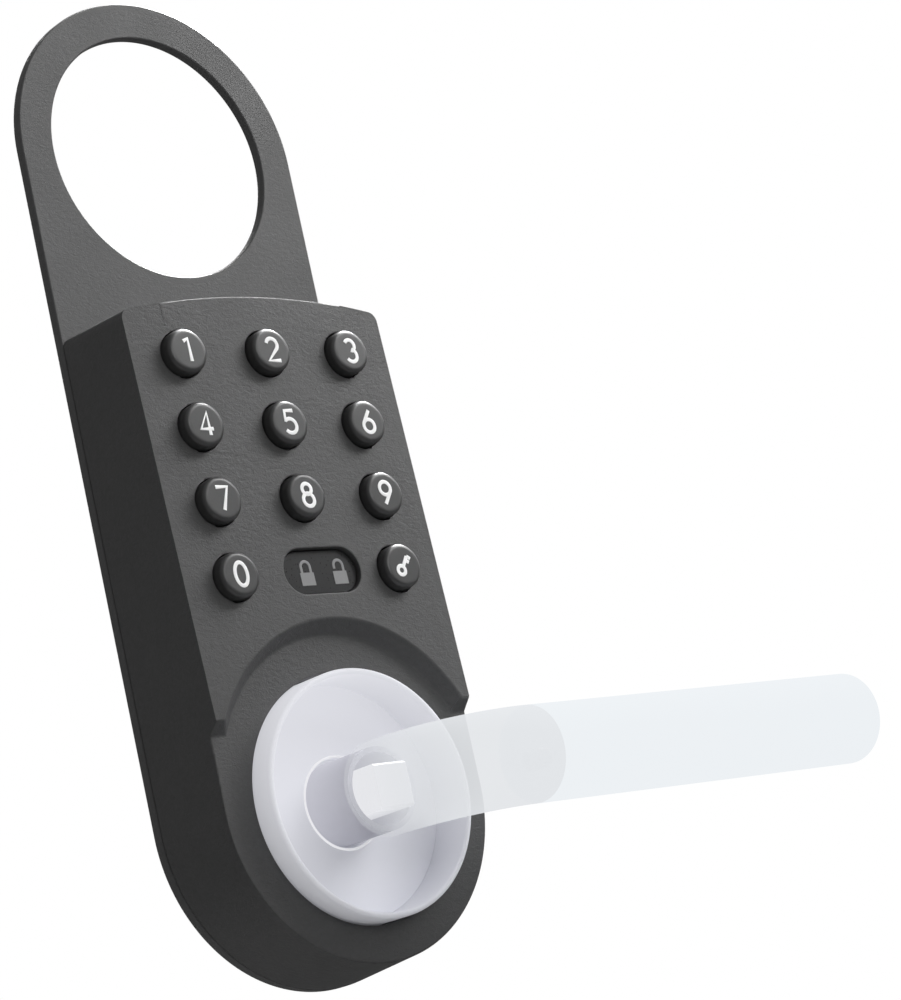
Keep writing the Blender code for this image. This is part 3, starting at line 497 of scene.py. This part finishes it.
def carve(piece, *cutters, operation="DIFFERENCE"):
    """Cuts, joins or keeps the common part, and throws the cutters away."""
    for cutter in cutters:
        modifier = piece.modifiers.new("carve", "BOOLEAN")
        modifier.operation = operation
        modifier.object = cutter
        modifier.solver = "MANIFOLD"
    settle(piece)
    piece.data.set_sharp_from_angle(angle=math.radians(SHARP_ANGLE))
    for cutter in cutters:
        bpy.data.objects.remove(cutter, do_unlink=True)


def round_edges(piece, width, segments=3, angle=30):
    """Rounds a piece's sharp edges."""
    modifier = piece.modifiers.new("edges", "BEVEL")
    modifier.width = width
    modifier.segments = segments
    modifier.limit_method = "ANGLE"
    modifier.angle_limit = math.radians(angle)
    modifier.use_clamp_overlap = False
    settle(piece)


def keep_flats_flat(piece):
    """Lets large faces set the shading, so that a rounded edge doesn't bend the faces beside it."""
    piece.data.set_sharp_from_angle(angle=math.radians(SHARP_ANGLE))
    modifier = piece.modifiers.new("shading", "WEIGHTED_NORMAL")
    modifier.keep_sharp = True
    settle(piece)


def install(piece, body, slot, *nodes):
    """Puts a piece on its body, in place of the frame nodes it stands for."""
    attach(piece, body)
    if nodes:
        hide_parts(*nodes)


def swing(bm, point, centre, angle, steps, axis=(0, 0, 1)):
    """Carries a point round a centre, drawing an arc, and returns its last point."""
    made = bmesh.ops.spin(bm, geom=[point], cent=centre, axis=axis, angle=angle, steps=steps)
    return made["geom_last"][0]


def draw(bm, point, place):
    """Draws a straight edge from a point and returns the new point."""
    made = bmesh.ops.extrude_vert_indiv(bm, verts=[point])
    made["verts"][0].co = place
    return made["verts"][0]


def close_face(bm, last, first):
    """Closes a drawn outline and fills it."""
    if (last.co - first.co).length > MERGE_DISTANCE:
        bm.edges.new((last, first))
    bmesh.ops.remove_doubles(bm, verts=bm.verts, dist=MERGE_DISTANCE)
    bmesh.ops.contextual_create(bm, geom=bm.edges[:])
    return bm.faces[:][0]


def raise_face(bm, face, lift):
    """Extrudes a face and returns the moved points."""
    made = bmesh.ops.extrude_face_region(bm, geom=[face])
    moved = [item for item in made["geom"] if isinstance(item, bmesh.types.BMVert)]
    bmesh.ops.translate(bm, verts=moved, vec=lift)
    return moved


def turned(name, profile, place, finish, steps=96, closed=False):
    """A round piece: (radius, height) points turned about the frame's Z."""
    bm = bmesh.new()
    points = [bm.verts.new((radius, 0, height)) for radius, height in profile]
    edges = [bm.edges.new(pair) for pair in zip(points, points[1:])]
    if closed:
        edges.append(bm.edges.new((points[-1], points[0])))
    bmesh.ops.spin(
        bm, geom=points + edges, cent=(0, 0, 0), axis=(0, 0, 1), angle=math.tau, steps=steps, use_merge=True
    )
    return new_piece(name, bm, place, finish)


def rounded(centre, radius, start, end, steps):
    """Profile points round a corner, with the angles in degrees."""
    turns = [math.radians(start + (end - start) * i / steps) for i in range(steps + 1)]
    return [(centre[0] + radius * math.cos(a), centre[1] + radius * math.sin(a)) for a in turns]


def rods(name, centres, radius, low, high, place, steps=64):
    """Upright rods at each (x, y), as a cutter."""
    bm = bmesh.new()
    for x, y in centres:
        bmesh.ops.create_cone(
            bm,
            cap_ends=True,
            segments=steps,
            radius1=radius,
            radius2=radius,
            depth=high - low,
            matrix=Matrix.Translation((x, y, (low + high) / 2)),
        )
    return new_piece(name, bm, place)


def block(name, low, high, place, finish=None):
    """A box between two opposite corners."""
    bm = bmesh.new()
    span = Vector(high) - Vector(low)
    middle = (Vector(high) + Vector(low)) / 2
    bmesh.ops.create_cube(bm, size=1, matrix=Matrix.Translation(middle) @ Matrix.Diagonal((*span, 1)))
    return new_piece(name, bm, place, finish)


def slot_block(name, centre, half_height, half_length, low, high, place, finish=None, steps=24):
    """A lying slot shape with round ends."""
    bm = bmesh.new()
    reach = half_length - half_height
    x, y = centre
    first = bm.verts.new((x + reach, y - half_height, low))
    right = swing(bm, first, (x + reach, y, low), math.pi, steps)
    left = draw(bm, right, (x - reach, y + half_height, low))
    last = swing(bm, left, (x - reach, y, low), math.pi, steps)
    face = close_face(bm, last, first)
    raise_face(bm, face, (0, 0, high - low))
    return new_piece(name, bm, place, finish)


def make_plate():
    size = sizes()
    bm = bmesh.new()
    first = bm.verts.new((PLATE_HALF_WIDTH, HOLE_RISE, 0))
    upper = swing(bm, first, (0, HOLE_RISE, 0), math.pi, 96)
    lower = draw(bm, upper, (-PLATE_HALF_WIDTH, 0, 0))
    last = swing(bm, lower, (0, 0, 0), math.pi, 96)
    face = close_face(bm, last, first)
    raise_face(bm, face, (0, 0, PLATE_THICKNESS))
    plate = new_piece("plate", bm, LOCK, "plate")
    low, high = -CUT_MARGIN, PLATE_THICKNESS + CUT_MARGIN
    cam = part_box("tail_cam")[1].x + CAM_GAP
    grommet_low, grommet_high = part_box("cable_grommet")
    screws = [node_centre(f"housing_screw_{corner}") for corner in CORNERS]
    posts = [node_centre(f"mounting_post_{side}") for side in ("left", "right")]
    pins = [node_centre(f"stop_pin_{end}") for end in ("rest", "end")]
    cable = (0, (grommet_low.z + grommet_high.z) / 2)
    carve(
        plate,
        rods("ring_hole", [(0, HOLE_RISE)], size.hole_radius, low, high, LOCK, 192),
        rods("cam_hole", [(0, 0)], cam, low, high, LOCK, 96),
        rods("cable_hole", [cable], CABLE_HOLE_RADIUS, low, high, LOCK),
        rods("screw_holes", screws, SCREW_HOLE_RADIUS, low, high, LOCK, 32),
        rods("screw_seats", screws, SCREW_SEAT_RADIUS, low, SCREW_SEAT_DEPTH, LOCK, 48),
        rods("post_holes", posts, POST_HOLE_RADIUS, low, high, LOCK, 48),
        rods("pin_holes", pins, PIN_HOLE_RADIUS, low, high, LOCK, 32),
    )
    round_edges(plate, size.plate_edge, 3)
    keep_flats_flat(plate)
    install(plate, "lock", "plate", "back_plate")


def node_centre(node):
    """Where a node's middle is, across and up."""
    low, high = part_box(node)
    return (low.x + high.x) / 2, (low.z + high.z) / 2


def housing_block(name, half_width, top, corner, back, front):
    """Round bottom, leaning sides, small round top corners and a shallow arched top."""
    size = sizes()
    middle = top - size.top_arc
    side = half_width - corner
    corner_rise = middle + math.sqrt((size.top_arc - corner) ** 2 - side**2)
    lean = math.atan2(corner_rise - middle, side)
    bm = bmesh.new()
    first = bm.verts.new((-half_width, 0, back))
    bottom = swing(bm, first, (0, 0, back), math.pi, 96)
    right = draw(bm, bottom, (half_width, corner_rise, back))
    right_corner = swing(bm, right, (side, corner_rise, back), lean, 8)
    left_corner = swing(bm, right_corner, (0, middle, back), math.pi - 2 * lean, 40)
    last = swing(bm, left_corner, (-side, corner_rise, back), lean, 8)
    face = close_face(bm, last, first)
    scale = 1 - size.housing_draft * (front - back) / half_width
    for point in raise_face(bm, face, (0, 0, front - back)):
        point.co.x *= scale
        point.co.y *= scale if point.co.y < 0 else 1
    return new_piece(name, bm, LOCK)


def crown_block(panel):
    """The space under the crowned, leaning keypad face."""
    crown = sizes().face_crown
    reach, foot, run, depth = 39.9 * MM, -60 * MM, 180 * MM, -40 * MM
    half_angle = math.asin(reach / crown)
    bm = bmesh.new()
    first = bm.verts.new((-reach, foot, math.sqrt(crown**2 - reach**2) - crown))
    over = swing(bm, first, (0, foot, -crown), 2 * half_angle, 14, (0, 1, 0))
    low_right = draw(bm, over, (reach, foot, depth))
    low_left = draw(bm, low_right, (-reach, foot, depth))
    face = close_face(bm, low_left, first)
    raise_face(bm, face, (0, run, 0))
    return new_piece("crown", bm, panel, smooth_angle=20)


def recess_block():
    """The space over the rosette: a cone above, two short flat ends, and open below."""
    size = sizes()
    floor, front, reach, foot = size.base_face, 30 * MM, 40 * MM, -45 * MM
    radius, rise, end = size.recess_radius, size.recess_rise, size.recess_end
    widening = (front - floor) * size.recess_slope
    low_angle = math.asin((end - rise) / radius)
    high_angle = math.asin((end + widening - rise) / (radius + widening))
    bm = bmesh.new()
    start = (radius * math.cos(low_angle), end, floor)
    first = bm.verts.new(start)
    arc_end = swing(bm, first, (0, rise, floor), math.pi - 2 * low_angle, 120)
    arc = set(bm.verts)
    left = draw(bm, arc_end, (-reach, end, floor))
    low_left = draw(bm, left, (-reach, foot, floor))
    low_right = draw(bm, low_left, (reach, foot, floor))
    right = draw(bm, low_right, (reach, end, floor))
    on_arc = {tuple(round(c, 7) for c in point.co.xy) for point in arc}
    face = close_face(bm, right, first)
    for point in raise_face(bm, face, (0, 0, front - floor)):
        if tuple(round(c, 7) for c in point.co.xy) in on_arc:
            angle = math.atan2(point.co.y - rise, point.co.x)
            share = (angle - low_angle) / (math.pi - 2 * low_angle)
            angle = high_angle + share * (math.pi - 2 * high_angle)
            point.co.x = (radius + widening) * math.cos(angle)
            point.co.y = rise + (radius + widening) * math.sin(angle)
        elif point.co.y > 0:
            point.co.y += widening
    return new_piece("recess", bm, LOCK)


def round_front_edges(housing, panel, width):
    """Rounds the sharp edges of the keypad face and of the recess, and leaves those inside alone."""
    to_panel, to_lock = panel.inverted(), LOCK.inverted()
    tiny, face_band, floor_band, sharp_angle = 0.000002, 0.5 * MM, 0.1 * MM, math.radians(30)
    bm = bmesh.new()
    bm.from_mesh(housing.data)
    bmesh.ops.remove_doubles(bm, verts=bm.verts, dist=tiny)
    bmesh.ops.dissolve_degenerate(bm, edges=bm.edges, dist=tiny)
    sharp = [edge for edge in bm.edges if edge.is_manifold and edge.calc_face_angle() > sharp_angle]
    chosen = []
    for edge in sharp:
        middle = (edge.verts[0].co + edge.verts[1].co) / 2
        on_face = (to_panel @ middle).z > -face_band
        place = to_lock @ middle
        if on_face or (place.z > sizes().base_face - floor_band and place.y < RECESS_TOP):
            chosen.append(edge)
    bmesh.ops.bevel(
        bm,
        geom=chosen,
        offset=width,
        offset_type="OFFSET",
        segments=2,
        profile=0.5,
        affect="EDGES",
        clamp_overlap=False,
        material=-1,
    )
    bm.to_mesh(housing.data)
    bm.free()
    housing.data.shade_smooth()


def make_housing():
    size = sizes()
    panel, _ = panel_place()
    housing = housing_block(
        "housing", HOUSING_HALF_WIDTH, size.housing_top, size.top_corner, HOUSING_BACK, HOUSING_FRONT
    )
    housing.data.materials.append(MATERIALS["housing"])
    carve(housing, crown_block(panel), operation="INTERSECT")
    cavity = housing_block(
        "cavity",
        HOUSING_HALF_WIDTH - size.wall,
        size.housing_top - size.wall,
        CAVITY_CORNER,
        HOUSING_BACK - CUT_MARGIN,
        HOUSING_FRONT,
    )
    seat_floor = -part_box("lever_bush")[0].y
    seat_back = seat_floor - SEAT_WALL
    wide = 40 * MM
    bosses = [node_centre(f"housing_screw_{corner}") for corner in CORNERS]
    carve(
        cavity,
        block("ceiling", (-wide, -60 * MM, -size.face_thickness), (wide, 120 * MM, 20 * MM), panel),
        block("seat", (-wide, -50 * MM, seat_back), (wide, KEYPAD_BOTTOM, 40 * MM), LOCK),
        rods("bosses", bosses, BOSS_RADIUS, HOUSING_BACK + BOSS_GAP, 30 * MM, LOCK, 32),
    )
    keys = [place.xy for _, place in key_places()]
    centre, half_height, half_length = window_shape()
    carve(
        housing,
        recess_block(),
        cavity,
        rods("seat_bore", [(0, 0)], ROSETTE_RADIUS + SEAT_GAP, seat_floor, 40 * MM, LOCK, 160),
        rods("shaft_bore", [(0, 0)], SHAFT_BORE_RADIUS, 10 * MM, 20 * MM, LOCK, 64),
        rods("key_holes", keys, size.key_radius + size.key_gap, -HOLE_DEPTH, HOLE_DEPTH, panel, 72),
        slot_block("window_hole", centre, half_height, half_length, -HOLE_DEPTH, HOLE_DEPTH, panel),
    )
    round_front_edges(housing, panel, size.housing_edge)
    keep_flats_flat(housing)
    install(housing, "lock", "housing", "front_housing")


def window_shape():
    """Centre, half height and half length of the window's hole, from the lens's flange."""
    low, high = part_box("indicator_lens")
    lean = panel_place()[1]
    middle = ((low.z + high.z) / 2 + LENS_LEVEL * math.sin(lean)) / math.cos(lean)
    return ((low.x + high.x) / 2, middle), WINDOW_HALF_HEIGHT, (high.x - low.x) / 2 - LENS_LIP


# Numerals and signs, drawn as lines and arcs on a field 1 high about its middle


def arc_line(x, y, radius, start, end, tall=1.0, steps=20):
    """A line along an arc, with the angles in degrees."""
    turns = [math.radians(start + (end - start) * i / steps) for i in range(steps + 1)]
    return [(x + radius * math.cos(a), y + radius * tall * math.sin(a)) for a in turns]


def glyph_lines(label):
    """The pen lines of a numeral, or of the key sign."""
    drawn = {
        "0": [arc_line(0, 0, 0.27, 90, 450, 1.63, 40)],
        "1": [[(-0.17, 0.34), (0.05, 0.44), (0.05, -0.44)]],
        "2": [arc_line(0, 0.19, 0.25, 165, -38) + [(-0.27, -0.44), (0.28, -0.44)]],
        "3": [arc_line(-0.01, 0.21, 0.23, 150, -80) + arc_line(-0.01, -0.19, 0.255, 80, -150)[1:]],
        "4": [[(0.12, -0.44), (0.12, 0.44), (-0.27, -0.2), (0.29, -0.2)]],
        "5": [[(0.22, 0.44), (-0.17, 0.44), (-0.21, 0.06)] + arc_line(-0.02, -0.16, 0.28, 128, -145)],
        "6": [arc_line(0, -0.18, 0.26, 150, 510, 1, 40), [(-0.225, -0.05), (0.12, 0.44)]],
        "7": [[(-0.26, 0.44), (0.26, 0.44), (-0.06, -0.44)]],
        "8": [arc_line(0, 0.225, 0.21, 270, 630, 1, 36), arc_line(0, -0.195, 0.25, 90, 450, 1, 40)],
        "9": [arc_line(0, 0.18, 0.26, -30, 330, 1, 40), [(0.225, 0.05), (-0.12, -0.44)]],
        "key": [
            arc_line(-0.16, -0.2, 0.175, 0, 360, 1, 32),
            [(-0.05, -0.06), (0.22, 0.33)],
            [(0.22, 0.33), (0.37, 0.23)],
            [(0.12, 0.19), (0.27, 0.09)],
        ],
    }
    return drawn[label]


def pen_lines(name, lines, scale, stroke, place, finish, flatness=0.16):
    """Raised lines of one width, laid flat on a face."""
    curve = bpy.data.curves.new(name, "CURVE")
    curve.dimensions = "3D"
    curve.bevel_depth = stroke / 2
    curve.bevel_resolution = 3
    curve.use_fill_caps = True
    for line in lines:
        spline = curve.splines.new("POLY")
        ring = (Vector(line[0]) - Vector(line[-1])).length < 0.0001
        points = line[:-1] if ring else line
        spline.use_cyclic_u = ring
        spline.points.add(len(points) - 1)
        for point, (x, y) in zip(spline.points, points):
            point.co = (x * scale, y * scale, 0, 1)
    guide = bpy.data.objects.new(name, curve)
    bpy.context.scene.collection.objects.link(guide)
    graph = bpy.context.evaluated_depsgraph_get()
    mesh = bpy.data.meshes.new_from_object(guide.evaluated_get(graph))
    bpy.data.objects.remove(guide, do_unlink=True)
    bm = bmesh.new()
    bm.from_mesh(mesh)
    bmesh.ops.scale(bm, vec=(1, 1, flatness), verts=bm.verts)
    return new_piece(name, bm, place, finish)


def make_keys():
    size = sizes()
    panel, _ = panel_place()
    radius, height, edge = size.key_radius, size.key_height, size.key_edge
    profile = [
        (0, height),
        (radius - edge - 0.4 * MM, height),
        *rounded((radius - edge, height - edge), edge, 90, 0, 8),
        (radius, -KEY_FLANGE_FRONT),
        (radius + KEY_FLANGE_LIP, -KEY_FLANGE_FRONT),
        (radius + KEY_FLANGE_LIP, -KEY_FLANGE_BACK),
        (0, -KEY_FLANGE_BACK),
    ]
    for label, place in key_places():
        at = panel @ Matrix.Translation(place)
        key = turned(f"key_{label}", profile, at, "button", 72)
        install(key, f"button_{label}", "button", f"button_{label}")
        on_top = at @ Matrix.Translation((0, 0, height))
        lines = glyph_lines(label)
        sign = pen_lines(f"sign_{label}", lines, size.glyph_height, size.glyph_stroke, on_top, "numeral")
        install(sign, f"button_{label}", "white")


def padlock_lines(open_shackle):
    """The bow of a padlock, with its left leg lifted clear when open."""
    legs = 0.10 if open_shackle else -0.02
    bow = arc_line(0, 0.22, 0.21, 0, 180)
    return [[(0.21, -0.02)] + bow + [(-0.21, legs)]]


def make_window():
    size = sizes()
    panel, _ = panel_place()
    centre, half_height, half_length = window_shape()
    top = -size.window_recess
    lens = slot_block(
        "lens", centre, half_height - LENS_GAP, half_length - LENS_GAP, -4 * MM, top, panel, "lens"
    )
    flange = slot_block(
        "flange", centre, half_height + LENS_LIP, half_length + LENS_LIP, -LENS_BACK, -LENS_SHOULDER, panel
    )
    carve(lens, flange, operation="UNION")
    install(lens, "lock", "lens", "indicator_lens")
    unit, stroke = 5.3 * MM, 0.6 * MM
    for name, across, is_open in (("locked", -3.3 * MM, False), ("unlocked", 5.0 * MM, True)):
        at = panel @ Matrix.Translation((centre[0] + across, centre[1], top))
        bow = pen_lines(f"bow_{name}", padlock_lines(is_open), unit, stroke, at, "icon")
        install(bow, "lock", "white")
        low, high = (-0.32 * unit, -0.5 * unit, -0.2 * MM), (0.32 * unit, 0.0, 0.06 * MM)
        body = block(f"padlock_{name}", low, high, at, "icon")
        install(body, "lock", "white")


def make_rosette():
    size = sizes()
    wall = size.rosette_wall
    inner = ROSETTE_RADIUS - wall
    ring = turned(
        "rosette_wall",
        [
            *rounded((ROSETTE_RADIUS - wall / 2, ROSETTE_FRONT - wall / 2), wall / 2, 180, 0, 12),
            (ROSETTE_RADIUS, ROSETTE_BACK),
            (inner, ROSETTE_BACK),
        ],
        LOCK,
        "rosette",
        160,
        True,
    )
    install(ring, "lock", "frosted", "rosette")
    hole, edge = size.rosette_hole, 0.25 * MM
    outer = inner - 0.05 * MM
    floor = turned(
        "rosette_floor",
        [
            *rounded((hole + edge, ROSETTE_FLOOR - edge), edge, 180, 90, 4),
            (outer, ROSETTE_FLOOR),
            (outer, ROSETTE_BACK),
            (hole, ROSETTE_BACK),
        ],
        LOCK,
        "floor",
        128,
        True,
    )
    install(floor, "lock", "white", "rosette_base")
    # A glowing ring laid round the edge of the floor's hole, as a painted highlight on that edge.
    rim_highlight_middle, rim_highlight_radius = (hole + 0.3 * MM, ROSETTE_FLOOR - 0.05 * MM), 0.26 * MM
    rim_highlight = turned(
        "rosette_lip",
        rounded(rim_highlight_middle, rim_highlight_radius, 0, 360, 12)[:-1],
        LOCK,
        "bar",
        96,
        True,
    )
    install(rim_highlight, "lock", "white")


def make_lever():
    size = sizes()
    seam = GRIP_LOW.x
    bend = size.bend_radius
    bend_start = LEVER_HEIGHT - bend
    steps = 64
    bm = bmesh.new()
    bmesh.ops.create_circle(
        bm, segments=steps, radius=LEVER_RADIUS, matrix=Matrix.Translation((0, 0, size.neck_back))
    )
    ring = bmesh.ops.extrude_edge_only(bm, edges=bm.edges[:])["geom"]
    lifted = [item for item in ring if isinstance(item, bmesh.types.BMVert)]
    bmesh.ops.translate(bm, verts=lifted, vec=(0, 0, bend_start - size.neck_back))
    edges = [item for item in ring if isinstance(item, bmesh.types.BMEdge)]
    made = bmesh.ops.spin(
        bm, geom=lifted + edges, cent=(bend, 0, bend_start), axis=(0, 1, 0), angle=math.pi / 2, steps=28
    )
    ends = [item for item in made["geom_last"] if isinstance(item, bmesh.types.BMVert)]
    bmesh.ops.translate(bm, verts=ends, vec=(seam - SEAM_GAP - bend, 0, 0))
    bmesh.ops.holes_fill(bm, edges=bm.edges, sides=0)
    elbow = new_piece("elbow", bm, LOCK, "neck")
    round_edges(elbow, 0.35 * MM, 3, 60)
    keep_flats_flat(elbow)
    install(elbow, "lever", "frosted", "lever_elbow")
    spigot_back, spigot_front = -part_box("lever_elbow")[1].y, size.neck_back - 0.1 * MM
    spigot = turned(
        "spigot",
        [
            (SPIGOT_BORE, spigot_back),
            (SPIGOT_BORE, spigot_front),
            (SPIGOT_RADIUS, spigot_front),
            (SPIGOT_RADIUS, spigot_back),
        ],
        LOCK,
        "spigot",
        64,
        True,
    )
    install(spigot, "lever", "frosted")
    edge = 1.2 * MM
    along = LOCK @ Matrix.Translation((0, 0, LEVER_HEIGHT)) @ Matrix.Rotation(math.pi / 2, 4, "Y")
    grip = turned(
        "grip",
        [
            (0, GRIP_END),
            *rounded((LEVER_RADIUS - edge, GRIP_END - edge), edge, 90, 0, 6),
            (LEVER_RADIUS, seam),
            (0, seam),
        ],
        along,
        "lever",
        64,
    )
    install(grip, "lever", "frosted", "lever_grip")


def make_hardware():
    repaint("steel", *(f"housing_screw_{corner}" for corner in CORNERS))
    repaint("steel", *(f"board_screw_{corner}" for corner in CORNERS))
    repaint("steel", "mounting_post_left", "mounting_post_right", "tail_cam", "tail_retainer")
    repaint("steel", "stop_pin_rest", "stop_pin_end", "stop_hub", "return_spring", "lever_clip")
    repaint("steel", "clutch_ring", "lead_screw")
    repaint("zinc", "tail_spindle", "clutch_motor")
    repaint("brass", "clutch_fork")
    # The drive spindle and the lever bush take finishes that glow with painted light and carry painted
    # shade.
    repaint("bar", "drive_spindle")
    repaint("bush", "lever_bush")
    repaint("white", "grub_screw", "cable_socket", "led_locked", "led_unlocked")
    repaint("clear", "light_guide_locked", "light_guide_unlocked")
    repaint("silicone", "keypad_mat")
    repaint("board", "circuit_board")
    repaint("black", "controller_chip", "buzzer")
    repaint("rubber", "cable_grommet")


def add_lamp(name, place, aim, width, power):
    data = bpy.data.lights.new(name, "AREA")
    data.shape = "DISK"
    data.size = width
    data.energy = power
    data.spread = LAMP_SPREAD
    lamp = bpy.data.objects.new(name, data)
    lamp.location = place
    lamp.rotation_mode = "QUATERNION"
    lamp.rotation_quaternion = (Vector(aim) - Vector(place)).to_track_quat("-Z", "Y")
    bpy.context.scene.collection.objects.link(lamp)


def make_world():
    """A white backdrop for the camera, and a weaker even light for the lock."""
    setup = stage_settings()
    world = bpy.data.worlds.new("studio")
    world.use_nodes = True
    bpy.context.scene.world = world
    tree = world.node_tree
    seen = tree.nodes["Background"]
    seen.inputs["Color"].default_value = (1, 1, 1, 1)
    seen.inputs["Strength"].default_value = setup.backdrop
    soft = tree.nodes.new("ShaderNodeBackground")
    soft.inputs["Color"].default_value = (1, 1, 1, 1)
    soft.inputs["Strength"].default_value = setup.ambient
    rays = tree.nodes.new("ShaderNodeLightPath")
    mix = tree.nodes.new("ShaderNodeMixShader")
    tree.links.new(rays.outputs["Is Camera Ray"], mix.inputs["Fac"])
    tree.links.new(soft.outputs["Background"], mix.inputs[1])
    tree.links.new(seen.outputs["Background"], mix.inputs[2])
    tree.links.new(mix.outputs["Shader"], tree.nodes["World Output"].inputs["Surface"])


def ground_material():
    """A pale floor that looks evenly lit but throws little light back up."""
    material, tree, shader, place = new_material("floor_paint")
    tinted(tree, shader, (0.4, 0.4, 0.4), noise(tree, place, 40), 0.01)
    shader.inputs["Roughness"].default_value = 0.9
    pale = tree.nodes.new("ShaderNodeEmission")
    pale.inputs["Color"].default_value = (0.8, 0.8, 0.8, 1)
    rays = tree.nodes.new("ShaderNodeLightPath")
    mix = tree.nodes.new("ShaderNodeMixShader")
    tree.links.new(rays.outputs["Is Camera Ray"], mix.inputs["Fac"])
    tree.links.new(shader.outputs["BSDF"], mix.inputs[1])
    tree.links.new(pale.outputs["Emission"], mix.inputs[2])
    tree.links.new(mix.outputs["Shader"], tree.nodes["Material Output"].inputs["Surface"])
    MATERIALS["ground"] = material


def make_stage():
    setup = stage_settings()
    scene = bpy.context.scene
    scene.view_settings.view_transform = "Standard"
    make_world()
    ground_material()
    bm = bmesh.new()
    bmesh.ops.create_grid(bm, x_segments=1, y_segments=1, size=FLOOR_REACH)
    ground = new_piece("ground", bm, Matrix.Translation((0, 0, -setup.floor_drop)), "ground")
    middle = (0, 0, 50 * MM)
    for name, (place, width) in LAMPS.items():
        add_lamp(name, place, middle, width, getattr(setup, name))
    data = bpy.data.cameras.new("camera")
    data.sensor_width = 36
    data.lens = setup.lens
    camera = bpy.data.objects.new("camera", data)
    camera.location = setup.viewpoint
    camera.rotation_euler = setup.aim
    scene.collection.objects.link(camera)
    scene.camera = camera


class LOCK_OT_finishes(bpy.types.Operator):
    """Make the lock's materials"""

    bl_idname = "lever_lock.finishes"
    bl_label = "Finishes"

    def execute(self, context):
        make_materials()
        return {"FINISHED"}


class LOCK_OT_plate(bpy.types.Operator):
    """Build the back plate with its ring"""

    bl_idname = "lever_lock.plate"
    bl_label = "Back plate"

    def execute(self, context):
        make_plate()
        return {"FINISHED"}


class LOCK_OT_housing(bpy.types.Operator):
    """Build the keypad housing"""

    bl_idname = "lever_lock.housing"
    bl_label = "Housing"

    def execute(self, context):
        make_housing()
        return {"FINISHED"}


class LOCK_OT_keys(bpy.types.Operator):
    """Build the round buttons and their signs"""

    bl_idname = "lever_lock.keys"
    bl_label = "Keys"

    def execute(self, context):
        make_keys()
        return {"FINISHED"}


class LOCK_OT_window(bpy.types.Operator):
    """Build the indicator lens and its two padlocks"""

    bl_idname = "lever_lock.window"
    bl_label = "Indicator window"

    def execute(self, context):
        make_window()
        return {"FINISHED"}


class LOCK_OT_rosette(bpy.types.Operator):
    """Build the dish round the lever's neck"""

    bl_idname = "lever_lock.rosette"
    bl_label = "Rosette"

    def execute(self, context):
        make_rosette()
        return {"FINISHED"}


class LOCK_OT_lever(bpy.types.Operator):
    """Build the lever's elbow, spigot and grip"""

    bl_idname = "lever_lock.lever"
    bl_label = "Lever"

    def execute(self, context):
        make_lever()
        return {"FINISHED"}


class LOCK_OT_hardware(bpy.types.Operator):
    """Finish the screws, drive parts and electronics"""

    bl_idname = "lever_lock.hardware"
    bl_label = "Hardware"

    def execute(self, context):
        make_hardware()
        return {"FINISHED"}


class LOCK_OT_stage(bpy.types.Operator):
    """Set up the floor, lamps and camera"""

    bl_idname = "lever_lock.stage"
    bl_label = "Stage"

    def execute(self, context):
        make_stage()
        return {"FINISHED"}


STEPS = (
    LOCK_OT_finishes,
    LOCK_OT_plate,
    LOCK_OT_housing,
    LOCK_OT_keys,
    LOCK_OT_window,
    LOCK_OT_rosette,
    LOCK_OT_lever,
    LOCK_OT_hardware,
    LOCK_OT_stage,
)


class LOCK_PT_panel(bpy.types.Panel):
    """Lists the lock's pieces and their sizes"""

    bl_label = "Keypad Lever Lock"
    bl_idname = "LOCK_PT_panel"
    bl_space_type = "VIEW_3D"
    bl_region_type = "UI"
    bl_category = "Lever Lock"

    def draw(self, context):
        column = self.layout.column()
        for step in STEPS:
            column.operator(step.bl_idname)
        for group in (context.scene.lock_sizes, context.scene.lock_finishes, context.scene.lock_stage):
            for name in group.__annotations__:
                column.prop(group, name)


GROUPS = {"lock_sizes": LockSizes, "lock_finishes": LockFinishes, "lock_stage": LockStage}


def register():
    for cls in (*GROUPS.values(), *STEPS, LOCK_PT_panel):
        bpy.utils.register_class(cls)
    for name, group in GROUPS.items():
        setattr(bpy.types.Scene, name, PointerProperty(type=group))


def unregister():
    for name in GROUPS:
        delattr(bpy.types.Scene, name)
    for cls in reversed((*GROUPS.values(), *STEPS, LOCK_PT_panel)):
        bpy.utils.unregister_class(cls)


def main():
    register()
    for step in STEPS:
        group, name = step.bl_idname.split(".")
        getattr(getattr(bpy.ops, group), name)()


if __name__ == "__main__":
    main()
